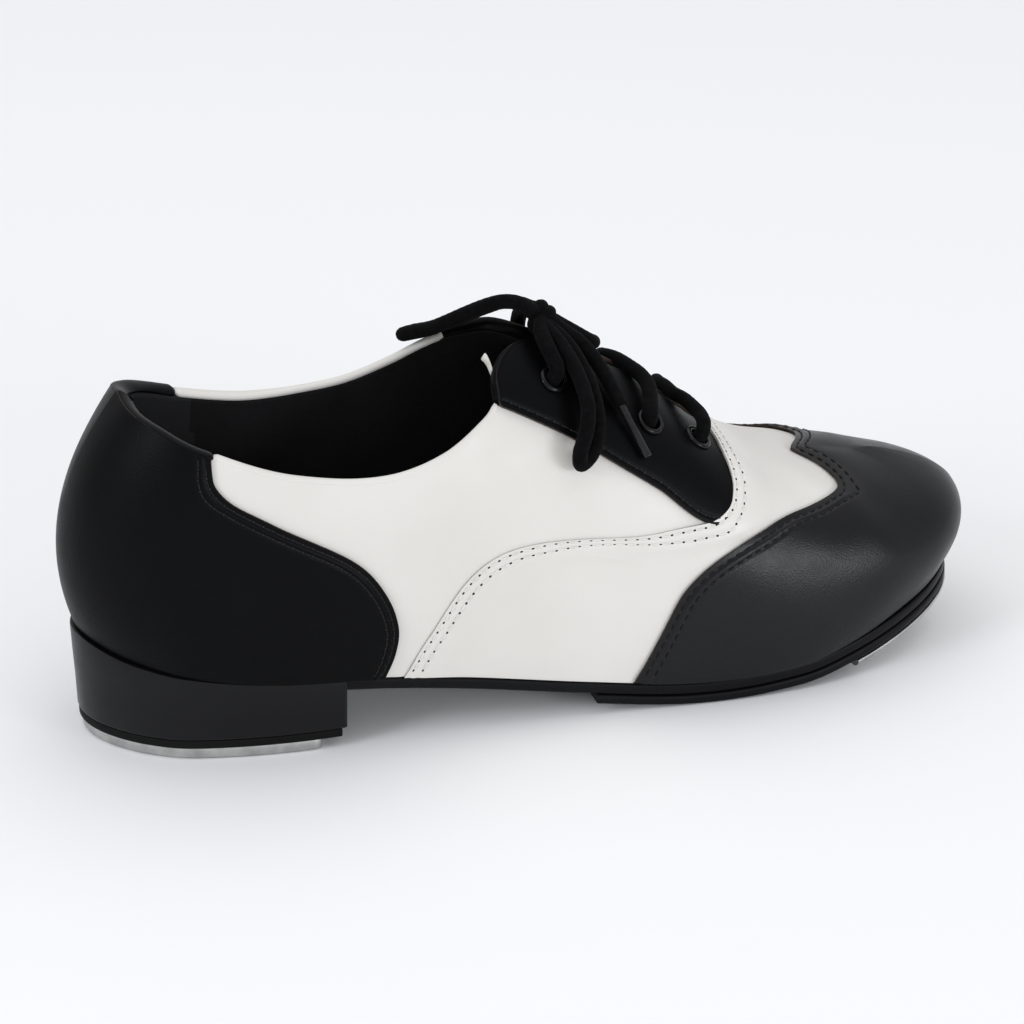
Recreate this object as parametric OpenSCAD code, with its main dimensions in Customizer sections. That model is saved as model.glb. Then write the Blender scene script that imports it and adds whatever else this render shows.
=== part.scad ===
// Tap shoe: a right-foot, three-eyelet wing-tip oxford with metal taps on its heel and toe.
// Frame: +X towards the toe, -Y the outer (lateral) side, +Z up, floor at z = 0.
// Every piece of the upper is a patch of one surface, last(side, t, v). t runs from 0 at the back
// of the heel to 1 at the toe tip, v from 0 at the sole to 1 at the ridge along the instep, and
// side is -1 on the lateral half and 1 on the medial half.

/* [Leather] */
// Thickness of the outer leather pieces
leather = 1.1; // [0.9:0.1:1.2]
// Thickness of the linings
lining = 0.9; // [0.6:0.1:0.9]
// Air left between neighbouring layers
layer_gap = 0.4; // [0.3:0.05:0.45]

/* [Bottom] */
// Thickness of the outsole
outsole_thick = 3.2; // [2.4:0.1:3.2]
// Thickness of the forepart half sole
half_sole_thick = 2.7; // [2:0.1:2.7]
// Distance from the back of the last to the half sole's rear edge
half_sole_start = 137; // [134:1:142]
// Thickness of the toe tap
toe_tap_thick = 2.2; // [1.8:0.1:2.2]

/* [Heel] */
// Distance from the back of the last to the front face of the heel
heel_breast = 68; // [66:1:70]
// Thickness of the heel tap
heel_tap_thick = 3.3; // [3:0.1:3.6]
// Thickness of the rubber top lift
top_lift_thick = 2.4; // [2:0.1:3]
// Radius of the screws that hold the taps
screw_r = 1.5; // [1.2:0.1:1.8]

/* [Lace] */
// Diameter of the lace
lace_d = 4.2; // [3.8:0.1:4.4]
// Radius of the hole in an eyelet
eyelet_hole_r = 2.5; // [2.4:0.1:2.8]
// Radius of an eyelet's flange
eyelet_flange_r = 4; // [3.8:0.1:4.4]

/* [Hidden] */

// The frame's origin, measured from the back of the last
origin = [127, 1.5, 0];
// The last's feather line, where the upper meets the sole, runs from back_x to front_x
back_x = 3;
front_x = 250;
// Half width of the feather line against t
width_lateral = [[0, 0], [0.1, 14.5], [0.15, 21.5], [0.2, 27], [0.3, 32], [0.4, 32.5], [0.5, 34.5],
    [0.6, 38], [0.66, 39], [0.72, 37.5], [0.8, 31], [0.9, 17.5], [1, 0]];
width_medial = [[0, 0], [0.1, 13], [0.15, 18], [0.2, 21.5], [0.3, 24], [0.4, 24.5], [0.5, 28.5],
    [0.6, 36.5], [0.66, 39.5], [0.72, 39], [0.8, 33.5], [0.9, 19], [1, 0]];
// Height of the feather line against x
feather_z = [[3, 31], [12, 28], [30, 24.5], [50, 22], [70, 20.3], [100, 16], [135, 10], [165, 6.6],
    [195, 7.9], [210, 11], [225, 15], [250, 21.5]];
// Upper end of each rib against t: x, half width and height
rib_end = [[0, 24, 0, 104], [0.1, 26.5, 12, 104], [0.2, 34, 20, 104], [0.3, 50, 22, 104],
    [0.4, 76, 20, 105], [0.48, 98, 13, 106.5], [0.55, 117, 3, 103.5], [0.6, 132, 0, 96],
    [0.66, 153, 0, 84.5], [0.7, 166, 0, 74.8], [0.735, 177.5, 0, 65.4], [0.765, 187, 0, 59.2],
    [0.795, 196, 0, 56], [0.83, 205, 0, 53], [0.87, 213.5, 0, 52.1], [0.92, 221, 0, 51.8],
    [0.97, 226.5, 0, 51.4], [1, 228, 0, 51.3]];
// How far a rib is rounded over, from a straight wall at 0 to a quarter ellipse at 1
roundness = [[0, 0.05], [0.3, 0.1], [0.45, 0.5], [0.55, 0.8], [0.66, 1], [1, 1]];
// How late up the wall a straight rib leans in to its upper end
lean = [[0, 3.2], [0.12, 3.1], [0.3, 2], [1, 1.7]];
// How square the rounded ribs are, across and upwards
power_across = [[0, 1.15], [0.6, 1.15], [0.7, 1.2], [0.85, 1.05], [1, 0.95]];
power_up = [[0, 1], [0.6, 1], [0.69, 1.12], [0.74, 0.98], [0.79, 0.82], [0.85, 0.8], [1, 0.72]];
// Outward bulge of the wall just above the sole
bulge = [[0, 4.2], [0.15, 4], [0.3, 3.2], [0.5, 3], [0.65, 3.5], [0.8, 5.5], [0.9, 7.5], [1, 8.5]];

// Pattern lines. Each row is s, t, v, with s running from the sole to the ridge.
wing_line = [[0, 0.552, 0], [0.12, 0.571, 0.1], [0.25, 0.59, 0.185], [0.35, 0.604, 0.228],
    [0.5, 0.634, 0.297], [0.6, 0.672, 0.374], [0.68, 0.712, 0.449], [0.76, 0.76, 0.525],
    [0.84, 0.802, 0.595], [0.9, 0.828, 0.685], [0.95, 0.838, 0.83], [1, 0.828, 1]];
vamp_line = [[0, 0.388, 0], [0.12, 0.406, 0.115], [0.25, 0.44, 0.263], [0.35, 0.48, 0.324],
    [0.5, 0.573, 0.331], [0.6, 0.635, 0.384], [0.68, 0.664, 0.441], [0.76, 0.683, 0.508],
    [0.84, 0.699, 0.588], [0.92, 0.714, 0.7], [0.97, 0.73, 0.845], [1, 0.738, 1]];
// How far forward of its rear edge, r, the vamp stays raised over the quarters, against s
vamp_hold = [[0, 0.08], [0.25, 0.15], [0.35, 0.4], [0.5, 0.42], [0.6, 0.33], [0.7, 0.25], [0.8, 0.16],
    [1, 0.12]];
// Height on the toe's own rib, v, that each s of the wing line runs out to
toe_rib = [[0, 0], [0.5, 0.32], [0.76, 0.58], [1, 1]];
// The foxing's front edge: v, t
foxing_line = [[0, 0.373], [0.08, 0.381], [0.16, 0.384], [0.26, 0.377], [0.36, 0.36], [0.45, 0.33],
    [0.55, 0.287], [0.63, 0.248], [0.7, 0.232], [1, 0.23]];
foxing_top = 0.77;
// The quarters' upper edges: s, t, v, from the heel along the topline and up the facing
top_lateral = [[0, 0, 0.89], [0.2, 0.14, 0.845], [0.35, 0.235, 0.77], [0.46, 0.32, 0.668],
    [0.54, 0.373, 0.608], [0.6, 0.41, 0.588], [0.67, 0.45, 0.6], [0.72, 0.485, 0.643],
    [0.76, 0.51, 0.69], [0.79, 0.521, 0.77], [0.82, 0.538, 0.826], [0.85, 0.558, 0.87],
    [0.88, 0.584, 0.915], [0.92, 0.64, 0.93], [1, 0.748, 0.93]];
top_medial = [[0, 0, 0.89], [0.2, 0.14, 0.83], [0.35, 0.235, 0.755], [0.46, 0.32, 0.69],
    [0.54, 0.37, 0.665], [0.6, 0.41, 0.66], [0.67, 0.45, 0.685], [0.72, 0.48, 0.725],
    [0.76, 0.505, 0.765], [0.79, 0.525, 0.795], [0.82, 0.54, 0.83], [0.85, 0.56, 0.88],
    [0.88, 0.59, 0.915], [0.92, 0.64, 0.93], [1, 0.748, 0.93]];
// The quarters' lower edge: s, t, v, along the sole and then up under the vamp
quarter_foot = [[0, 0, 0], [0.2, 0.13, 0], [0.35, 0.23, 0], [0.5, 0.32, 0], [0.62, 0.385, 0],
    [0.68, 0.412, 0.05], [0.74, 0.44, 0.19], [0.8, 0.485, 0.275], [0.85, 0.565, 0.285],
    [0.9, 0.635, 0.335], [0.94, 0.678, 0.4], [0.97, 0.706, 0.54], [1, 0.748, 0.86]];
// The eyestays' lower edge: s, t, v, against the same s as the quarters' upper edge
eyestay_start = 0.762;
eyestay_foot = [[0.76, 0.51, 0.68], [0.82, 0.538, 0.612], [0.88, 0.577, 0.53], [0.93, 0.613, 0.454],
    [0.96, 0.642, 0.39], [0.98, 0.688, 0.46], [1, 0.722, 0.66]];
// The centres of the eyelets: t, v
eyelet_places = [[0.575, 0.738], [0.646, 0.67], [0.694, 0.702]];
// The tongue from its free end to its sewn end: share, x, height, drop at 20 mm out, half width
tongue_rows = [[0, 110, 98.5, 11, 14.5], [0.12, 119, 94.5, 14, 15.5], [0.3, 132, 88.5, 14, 16.5],
    [0.5, 148, 80, 12, 17], [0.75, 167, 67.5, 10, 16], [1, 186, 54.5, 8, 13.5]];

// The lace's centre line in the part's own frame: two bars across the instep, the two rises to
// the knot, the two loops of the bow and the two free ends
bar_front = [[42, -17.5, 66], [44.5, -19, 70], [45.5, -18.5, 73], [46, -14.5, 74], [45.5, -10, 74.5],
    [44.5, -5.5, 75], [43, -1, 75], [42.5, 4, 75], [42.5, 9, 74], [43.5, 13.5, 72.5], [44.5, 16, 71],
    [44, 16.5, 69], [42, 14.5, 65.5]];
bar_middle = [[27.5, -19, 73.5], [29, -21.5, 77.5], [29, -22, 80.5], [30.5, -17.5, 82.5],
    [31.5, -12.5, 84], [31, -7.5, 85], [29.5, -2.5, 85.5], [28, 3, 85.5], [27, 8, 84.5],
    [27.5, 13, 82.5], [28.5, 17.5, 80.5], [29, 18.5, 77.5], [27.5, 16.5, 73.5]];
rise_lateral = [[1.5, -14.5, 87.5], [3, -17.5, 91], [4, -18.5, 94.5], [3, -15, 98.5],
    [2.5, -10, 101.5], [4, -5, 103]];
rise_medial = [[1.5, 11, 87.5], [3, 13.5, 91], [4, 15.5, 94.5], [4, 13, 98.5], [4, 8, 101.5],
    [5, 3, 103]];
loop_rear = [[4, -3, 104], [-1.9, -4, 108.2], [-6.1, -3.5, 109], [-9.6, -0.5, 107.2], [-13.8, 4, 103.7],
    [-18.2, 8, 100.1], [-21.7, 12, 97], [-25.2, 15.5, 95], [-27.3, 18.6, 93.4], [-24.1, 19.3, 93.6],
    [-20.6, 15.9, 95.4], [-16.9, 12, 98.2], [-12.5, 8.1, 101.6], [-8.3, 3.6, 105.1], [-4.8, 0.6, 107.2],
    [-0.5, 0.1, 106.4], [4, 0.5, 104]];
loop_front = [[4, -4, 103], [7, -7.5, 100.5], [10, -11.5, 97], [12, -16.5, 92.5], [13, -21.5, 88],
    [13, -25.5, 83.5], [12, -29, 79], [9.5, -31.5, 75], [6, -33.5, 73.5], [5.5, -34, 77],
    [8, -31.5, 82], [9.5, -28, 87], [9.5, -22.5, 91.5], [8.5, -17.5, 95.5], [6.5, -12, 99.5],
    [4, -7, 102.5]];
end_lateral = [[5, -3, 104], [9, -6, 100.5], [13.5, -8, 97], [17, -12, 92.5], [19, -18, 88],
    [20.5, -23, 83.5]];
end_medial = [[5, 0, 103.5], [10, 1, 99.5], [15.5, 1.5, 95.5], [20, 3, 92], [22.5, 7, 89.5],
    [22.5, 12, 87], [22.5, 17, 83.5]];
// Points the two aglets' tips point at
aglet_lateral_tip = [25.5, -31.5, 71.5];
aglet_medial_tip = [26.5, 27.5, 72];
knot_place = [4.5, -2, 103.5];

function clamp(x) = min(max(x, 0), 1);
function smooth(x) = let(c = clamp(x)) c * c * (3 - 2 * c);
function mix(a, b, k) = a + (b - a) * k;
// A smooth curve through the rows of a table: column c against column 0
function slope(k, i, c) = let(a = max(i - 1, 0), b = min(i + 1, len(k) - 1))
    (k[b][c] - k[a][c]) / (k[b][0] - k[a][0]);
function row(k, x, i = 0) = (i >= len(k) - 2 || x < k[i + 1][0]) ? i : row(k, x, i + 1);
function curve(k, x, c = 1) =
    let(i = row(k, x), h = k[i + 1][0] - k[i][0], s = clamp((x - k[i][0]) / h))
    (2 * s ^ 3 - 3 * s ^ 2 + 1) * k[i][c] + (s ^ 3 - 2 * s ^ 2 + s) * h * slope(k, i, c)
    + (3 * s ^ 2 - 2 * s ^ 3) * k[i + 1][c] + (s ^ 3 - s ^ 2) * h * slope(k, i + 1, c);

// The feather line in plan, the way out from it, and its height
function feather_x(t) = back_x + (front_x - back_x) / 2 * (1 - cos(180 * t));
function width(side, t) = curve(side < 0 ? width_lateral : width_medial, t);
function plan_out(side, t) =
    let(a = clamp(t - 0.001), b = clamp(t + 0.001))
    let(dx = feather_x(b) - feather_x(a), dy = width(side, b) - width(side, a))
    [-dy, dx] / (norm([dx, dy]) + 1e-9);
function sole_z(x) = curve(feather_z, x);

function last(side, t, v) =
    let(k = curve(roundness, t), w = width(side, t), x = feather_x(t), open = clamp(cos(90 * v)))
    let(straight = v ^ curve(lean, t), along = mix(straight, 1 - open ^ 2.1, k))
    let(across = mix(straight, 1 - open ^ curve(power_across, t), k))
    let(up = mix(v, sin(90 * v) ^ curve(power_up, t), k))
    let(out = curve(bulge, t) * v * (1 - v) ^ 1.8 / (0.357 * 0.643 ^ 1.8) * plan_out(side, t))
    [mix(x, curve(rib_end, t, 1), along) + out[0],
     side * (mix(w, curve(rib_end, t, 2), across) + out[1]),
     mix(sole_z(x), curve(rib_end, t, 3), up)];

step = 0.002;
function normal(side, t, v) =
    let(along = last(side, min(t + step, 1), v) - last(side, max(t - step, 0), v))
    let(upward = last(side, t, min(v + step, 1)) - last(side, t, max(v - step, 0)))
    let(n = cross(along, upward) * -side)
    let(m = (t == 0 || t == 1 || v == 1) ? [n[0], 0, n[2]] : n)
    m / norm(m);
// The point on the layer that lies d outside the last, at p = [side, t, v]
function layer(p, d) = last(p[0], p[1], p[2]) + d * normal(p[0], p[1], p[2]) - origin;

// Layer heights: the foxing lies on the quarters, and the linings drop under the stiffeners
pitch = leather + layer_gap;
function back_level(t) = -1.3 * (1 - smooth((t - 0.12) / 0.18));
function lining_level(t) = back_level(t) - pitch - 1.4 * (1 - smooth((t - 0.3) / 0.08))
    - 1.4 * smooth((t - 0.8) / 0.05);

// A closed shell between an outer and an inner grid of points; "zip" joins the last row to itself
module shell(outer, inner, flip = false, zip = false) {
    n = len(outer) - 1;
    m = len(outer[0]) - 1;
    count = (n + 1) * (m + 1);
    function at(i, j) = i * (m + 1) + (zip && i == n ? min(j, m - j) : j);
    function two(a, b, c, d) = [[a, b, c], [a, c, d]];
    skin = [for (i = [0:n - 1], j = [0:m - 1])
        each two(at(i, j), at(i, j + 1), at(i + 1, j + 1), at(i + 1, j))];
    back = [for (f = skin) [f[2] + count, f[1] + count, f[0] + count]];
    rear = [for (j = [0:m - 1])
        each two(at(0, j + 1), at(0, j), at(0, j) + count, at(0, j + 1) + count)];
    front = zip ? [] : [for (j = [0:m - 1])
        each two(at(n, j), at(n, j + 1), at(n, j + 1) + count, at(n, j) + count)];
    left = [for (i = [0:n - 1])
        each two(at(i, 0), at(i + 1, 0), at(i + 1, 0) + count, at(i, 0) + count)];
    right = [for (i = [0:n - 1])
        each two(at(i + 1, m), at(i, m), at(i, m) + count, at(i + 1, m) + count)];
    faces = [for (f = concat(skin, back, rear, front, left, right))
        if (f[0] != f[1] && f[1] != f[2] && f[2] != f[0]) flip ? [f[2], f[1], f[0]] : f];
    polyhedron([for (g = [outer, inner], r = g) each r], faces);
}
function cells(n, m, f) = [for (i = [0:n]) [for (j = [0:m]) f(i / n, j / m)]];
// A shell over the patch place(a, b), whose outer face is at level(a, b)
module patch(n, m, place, level, thick, flip = false, zip = false) {
    shell(cells(n, m, function(a, b) layer(place(a, b), level(a, b))),
        cells(n, m, function(a, b) layer(place(a, b), level(a, b) - thick)), flip, zip);
}

// Pieces that cross the ridge: b runs from the lateral sole at 0 to the medial sole at 1
function half(b) = b < 0.5 ? -1 : 1;
function climb(b) = 1 - abs(2 * b - 1);
function cap_place(r, b) = let(s = climb(b))
    [half(b), mix(curve(wing_line, s, 1), 1, r), mix(curve(wing_line, s, 2), curve(toe_rib, s), r)];
function vamp_place(r, b) = let(s = climb(b), front = cap_place(0.07, b))
    [half(b), mix(curve(vamp_line, s, 1), front[1], r), mix(curve(vamp_line, s, 2), front[2], r)];
function vamp_lining_place(r, b) = let(s = climb(b), rear = vamp_place(0.14, b))
    [half(b), mix(rear[1], 1, r), mix(rear[2], curve(toe_rib, s), r)];
function vamp_level(r, b) =
    mix(pitch, 2 * pitch, smooth((climb(b) - 0.5) / 0.12))
    * (1 - smooth((r - curve(vamp_hold, climb(b))) / 0.3)) - 0.25 * smooth((r - 0.7) / 0.3);

module toe_cap() {
    function above_foot(p) = [p[0], p[1], max(p[2], 0.005)];
    color("#17171c") patch(16, 40, function(a, b) above_foot(cap_place(a, b)),
        function(a, b) pitch * (1 - smooth((a - 0.12) / 0.5)), leather, zip = true);
}
module toe_puff() {
    color("#c8b68c") patch(7, 26, function(a, b) [half(b), mix(0.88, 1, a), mix(0.05, 1, climb(b))],
        function(a, b) -pitch, 0.9, zip = true);
}
module vamp() {
    color("#eceae4") patch(16, 44, function(a, b) vamp_place(a, b),
        function(a, b) vamp_level(a, b), leather);
}
module vamp_lining() {
    color("#222226") patch(18, 30, function(a, b) vamp_lining_place(a, b),
        function(a, b) lining_level(vamp_lining_place(a, b)[1]), lining, zip = true);
}

// Side pieces: a runs from the heel to the throat, b from the lower to the upper edge
function top_edge(side) = side < 0 ? top_lateral : top_medial;
function side_place(side, foot, s, b) =
    [side, mix(max(curve(foot, s, 1), 0), curve(top_edge(side), s, 1), b),
     mix(max(curve(foot, s, 2), 0), curve(top_edge(side), s, 2), b)];
function quarter_place(side, a, b) = side_place(side, quarter_foot, a, b);
module quarter(side) {
    color("#eceae4") patch(44, 12, function(a, b) quarter_place(side, max(a, 0.005), b),
        function(a, b) back_level(quarter_place(side, a, b)[1]), leather, flip = side > 0);
}
module quarter_lateral() {
    quarter(-1);
}
module quarter_medial() {
    quarter(1);
}
module eyestay(side) {
    color("#17171c") patch(24, 9,
        function(a, b) side_place(side, eyestay_foot, mix(eyestay_start, 1, a), b),
        function(a, b) pitch, leather, flip = side > 0);
}
module eyestay_lateral() {
    eyestay(-1);
}
module eyestay_medial() {
    eyestay(1);
}

// Pieces that wrap the heel: a runs from the lateral front edge round the back to the medial one
function topline(side) = [for (r = top_edge(side)) if (r[1] < 0.3) [r[1], r[2]]];
function around(a) = abs(2 * a - 1);
function foxing_place(a, b) = let(k = around(a), side = half(a))
    [side, k * curve(foxing_line, foxing_top * b), b * curve(topline(side), k * 0.235)];
module heel_foxing() {
    color("#17171c") patch(30, 8, function(a, b) foxing_place(a, b),
        function(a, b) back_level(foxing_place(a, b)[1]) + pitch, leather, flip = true);
}
function counter_place(a, b) = let(k = around(a), side = half(a))
    [side, k * 0.27, mix(0.04, 0.85, b) * curve(topline(side), k * 0.235)];
module heel_counter() {
    color("#b9a27a") patch(20, 6, function(a, b) counter_place(a, b),
        function(a, b) back_level(counter_place(a, b)[1]) - pitch, 0.9, flip = true);
}
// The lining's foot stays above the insole board, and above the vamp lining's rear edge
function lining_place(a, b) = let(k = around(a), foot = 0.09 + 0.06 * smooth((k - 0.64) / 0.1))
    quarter_place(half(a), k, mix(foot, 0.985, b));
module quarter_lining() {
    color("#222226") patch(60, 8, function(a, b) lining_place(a, b),
        function(a, b) lining_level(lining_place(a, b)[1]), lining, flip = true);
}

// The tongue, across from -1 on its lateral edge to 1 on its medial edge
function tongue_point(a, across) = let(y = across * curve(tongue_rows, a, 4))
    [curve(tongue_rows, a, 1), y, curve(tongue_rows, a, 2) - curve(tongue_rows, a, 3) * abs(y / 20) ^ 1.9]
    - origin;
module tongue() {
    color("#e6e4de") shell(
        cells(14, 10, function(a, b) tongue_point(1 - a, 1 - 2 * b)),
        cells(14, 10, function(a, b) tongue_point(1 - a, 1 - 2 * b) - [0, 0, 1.3]));
}

// A slab between two heights over the sole's outline, from t0 to t1, with its edge drawn in
function rim(side, t, inset) = let(o = plan_out(side, t))
    [feather_x(t) - inset * o[0], side * max(width(side, t) - inset * o[1], 0)] - [origin[0], origin[1]];
module slab(t0, t1, n, inset, top, bottom) {
    ts = [for (i = [0:n]) mix(t0, t1, i / n)];
    count = 2 * (n + 1);
    outline = [for (t = ts, side = [-1, 1]) rim(side, t, inset)];
    points = concat([for (p = outline) [p[0], p[1], top(p[0] + origin[0])]],
        [for (p = outline) [p[0], p[1], bottom(p[0] + origin[0])]]);
    function lat(i) = 2 * i;
    function med(i) = (ts[i] == 0 || ts[i] == 1) ? 2 * i : 2 * i + 1;
    function two(a, b, c, d) = [[a, b, c], [a, c, d]];
    lid = [for (i = [0:n - 1]) each two(lat(i), med(i), med(i + 1), lat(i + 1))];
    base = [for (f = lid) [f[2] + count, f[1] + count, f[0] + count]];
    walls = [for (i = [0:n - 1])
        each concat(two(lat(i), lat(i + 1), lat(i + 1) + count, lat(i) + count),
            two(med(i + 1), med(i), med(i) + count, med(i + 1) + count))];
    ends = concat(two(med(0), lat(0), lat(0) + count, med(0) + count),
        two(lat(n), med(n), med(n) + count, lat(n) + count));
    faces = [for (f = concat(lid, base, walls, ends))
        if (f[0] != f[1] && f[1] != f[2] && f[2] != f[0]) f];
    polyhedron(points, faces);
}
function t_at(x) = acos(1 - 2 * (x - back_x) / (front_x - back_x)) / 180;

// Heights of the bottom's layers over the floor
air = 0.3;
function outsole_top(x) = sole_z(x) - air;
function outsole_base(x) = outsole_top(x) - outsole_thick;
function half_sole_base(x) = outsole_base(x) - air - half_sole_thick;
board_inset = 3.9;
board_thick = 1.8;
filler_thick = 1.3;
function board_base(x) = outsole_top(x) + filler_thick + 2 * air;

module outsole() {
    color("#141416") slab(0, 1, 44, -0.8, function(x) outsole_top(x), function(x) outsole_base(x));
}
module half_sole() {
    color("#18181a") slab(t_at(half_sole_start), 1, 24, -1.2,
        function(x) outsole_base(x) - air, function(x) half_sole_base(x));
}
module insole_board() {
    color("#b79d74") slab(0, 1, 36, board_inset,
        function(x) board_base(x) + board_thick, function(x) board_base(x));
}
module sock_lining() {
    color("#3a3a3e") slab(0, 1, 36, board_inset + 0.4,
        function(x) board_base(x) + board_thick + air + 1, function(x) board_base(x) + board_thick + air);
}
module bottom_filler() {
    color("#8d7757") slab(t_at(152), t_at(240), 20, 8,
        function(x) outsole_top(x) + air + filler_thick, function(x) outsole_top(x) + air);
}
module shank() {
    shank_w = 12;
    xs = [for (x = [28:8:140]) x];
    function edge(y, lift) = [for (x = xs) [x, y, outsole_top(x) + air + lift] - origin];
    color("#8f9296") shell([edge(-shank_w / 2, 1.1), edge(shank_w / 2, 1.1)],
        [edge(-shank_w / 2, 0), edge(shank_w / 2, 0)], flip = true);
}

// The heel, from the floor up
top_lift_base = heel_tap_thick + 0.05;
heel_base = top_lift_base + top_lift_thick + 0.05;
module heel_plan(inset, breast) {
    ts = [for (i = [0:20]) t_at(breast) * i / 20];
    polygon(concat([for (t = ts) rim(-1, t, inset)], [for (i = [20:-1:1]) rim(1, ts[i], inset)]));
}
nail_r = 0.9;
nail_grip = 8;
heel_screws = [[16, 0], [36, -13], [36, 13]];
toe_screws = [[222, -12], [222, 12], [243, 1]];
module at_screws(places) {
    for (p = places) translate([p[0] - origin[0], p[1] - origin[1], 0]) children();
}
module heel_stack() {
    color("#19191d") difference() {
        slab(0, t_at(heel_breast), 26, -0.3, function(x) outsole_base(x) - air, function(x) heel_base);
        at_screws(heel_screws) cylinder(r = screw_r + 0.02, h = 13, $fn = 24);
    }
}
module top_lift() {
    color("#0f0f11") translate([0, 0, top_lift_base]) difference() {
        linear_extrude(top_lift_thick) heel_plan(0.2, heel_breast - 1);
        at_screws(heel_screws) translate([0, 0, -1]) cylinder(r = screw_r + 0.02, h = 9, $fn = 24);
    }
}
module heel_tap() {
    color("#c2c4c6") difference() {
        union() {
            translate([0, 0, 1]) linear_extrude(heel_tap_thick - 1) heel_plan(0.6, heel_breast - 6);
            linear_extrude(1) heel_plan(1.2, heel_breast - 6.6);
        }
        at_screws(heel_screws) translate([0, 0, -1]) cylinder(r = screw_r + 0.02, h = 9, $fn = 24);
        at_screws(heel_screws) translate([0, 0, -1]) cylinder(r = 2.9, h = 2.5, $fn = 32);
    }
}
module screw(head_z, length) {
    translate([0, 0, head_z]) cylinder(r = 2.7, h = 1.2, $fn = 32);
    translate([0, 0, head_z + 1.2]) cylinder(r = screw_r, h = length, $fn = 24);
}
module heel_tap_screws() {
    color("#8c8f93") at_screws(heel_screws) screw(0.3, 10);
}
module heel_nails() {
    color("#77797c") for (p = [[18, -7], [18, 7], [44, -15], [44, 15], [58, -13], [58, 13]]) {
        foot = outsole_base(p[0]) - nail_grip;
        at_screws([p]) translate([0, 0, foot])
            cylinder(r = nail_r, h = board_base(p[0]) + board_thick - foot, $fn = 16);
    }
}
module toe_tap() {
    color("#c2c4c6") slab(t_at(212), 1, 14, -0.6, function(x) half_sole_base(x) - 0.1,
        function(x) half_sole_base(x) - 0.1 - toe_tap_thick);
}
module toe_tap_screws() {
    for (p = toe_screws) color("#8c8f93") at_screws([p])
        translate([0, 0, half_sole_base(p[0]) - toe_tap_thick]) cylinder(r = screw_r, h = 4.4, $fn = 24);
}

// An eyelet: a flanged ring whose barrel goes through the facing and is clenched behind it
module eyelet() {
    barrel_wall = 0.5;
    rotate_extrude($fn = 40) union() {
        translate([eyelet_hole_r, 0.05]) square([eyelet_flange_r - eyelet_hole_r, 0.8]);
        translate([eyelet_hole_r, -4]) square([barrel_wall, 4.2]);
        translate([eyelet_hole_r, -4.2]) square([1.1, 0.2]);
    }
}
module eyelets(side) {
    color("#101012") for (e = eyelet_places) {
        way = normal(side, e[0], e[1]);
        translate(layer([side, e[0], e[1]], pitch))
            rotate([0, acos(way[2]), atan2(way[1], way[0])]) eyelet();
    }
}
module eyelets_lateral() {
    eyelets(-1);
}
module eyelets_medial() {
    eyelets(1);
}

// A tube swept along a route, with a ring of points at each of the route's own points
function unit(v) = v / norm(v);
function heading(route, i) = unit(route[min(i + 1, len(route) - 1)] - route[max(i - 1, 0)]);
function carried(route, i, side) = i == len(route) ? [] :
    let(h = heading(route, i), s = unit(side - (side * h) * h))
    concat([s], carried(route, i + 1, s));
module tube(route, r, sides = 8) {
    n = len(route);
    first = abs(heading(route, 0)[2]) < 0.9 ? [0, 0, 1] : [1, 0, 0];
    across = carried(route, 0, first);
    points = [for (i = [0:n - 1], k = [0:sides - 1])
        let(a = 360 * k / sides, up = cross(heading(route, i), across[i]))
        route[i] + r * (cos(a) * across[i] + sin(a) * up)];
    function at(i, k) = i * sides + k % sides;
    walls = [for (i = [0:n - 2], k = [0:sides - 1])
        each [[at(i, k), at(i + 1, k), at(i + 1, k + 1)], [at(i, k), at(i + 1, k + 1), at(i, k + 1)]]];
    ends = [for (k = [1:sides - 2]) each [[at(0, 0), at(0, k), at(0, k + 1)],
        [at(n - 1, 0), at(n - 1, k + 1), at(n - 1, k)]]];
    polyhedron(points, concat(walls, ends));
}
module lace(routes) {
    color("#0d0d0f") for (route = routes) tube(route, lace_d / 2);
}
module lace_lower() {
    lace([bar_front, bar_middle]);
}
module lace_upper() {
    lace([rise_lateral, rise_medial]);
}
module lace_bow() {
    lace([loop_rear, loop_front]);
}
module lace_ends() {
    lace([end_lateral, end_medial]);
}
module lace_knot() {
    knot_size = [5.6, 5, 4.4];
    color("#0d0d0f") translate(knot_place) scale(knot_size) sphere(1, $fn = 20);
}
aglet_r = 1.25;
aglet_length = 15;
module aglet(start, tip) {
    way = unit(tip - start);
    translate(start + 0.05 * way) rotate([0, acos(way[2]), atan2(way[1], way[0])])
        cylinder(r = aglet_r, h = aglet_length, $fn = 24);
}
module aglets() {
    color("#2a2a2e") {
        aglet(end_lateral[len(end_lateral) - 1], aglet_lateral_tip);
        aglet(end_medial[len(end_medial) - 1], aglet_medial_tip);
    }
}

outsole();
half_sole();
heel_stack();
top_lift();
heel_tap();
heel_tap_screws();
heel_nails();
toe_tap();
toe_tap_screws();
insole_board();
shank();
bottom_filler();
sock_lining();
toe_cap();
toe_puff();
vamp();
vamp_lining();
quarter_lateral();
quarter_medial();
heel_foxing();
heel_counter();
quarter_lining();
eyestay_lateral();
eyestay_medial();
eyelets_lateral();
eyelets_medial();
tongue();
lace_lower();
lace_upper();
lace_knot();
lace_bow();
lace_ends();
aglets();
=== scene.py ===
"""A black and white wing-tip tap shoe: its visible surfaces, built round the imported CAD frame.

The pattern tables and routes repeat part.scad, in millimetres. A piece's points are turned into
metres in the row frame by layer() and by metres().
"""

import math

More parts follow.
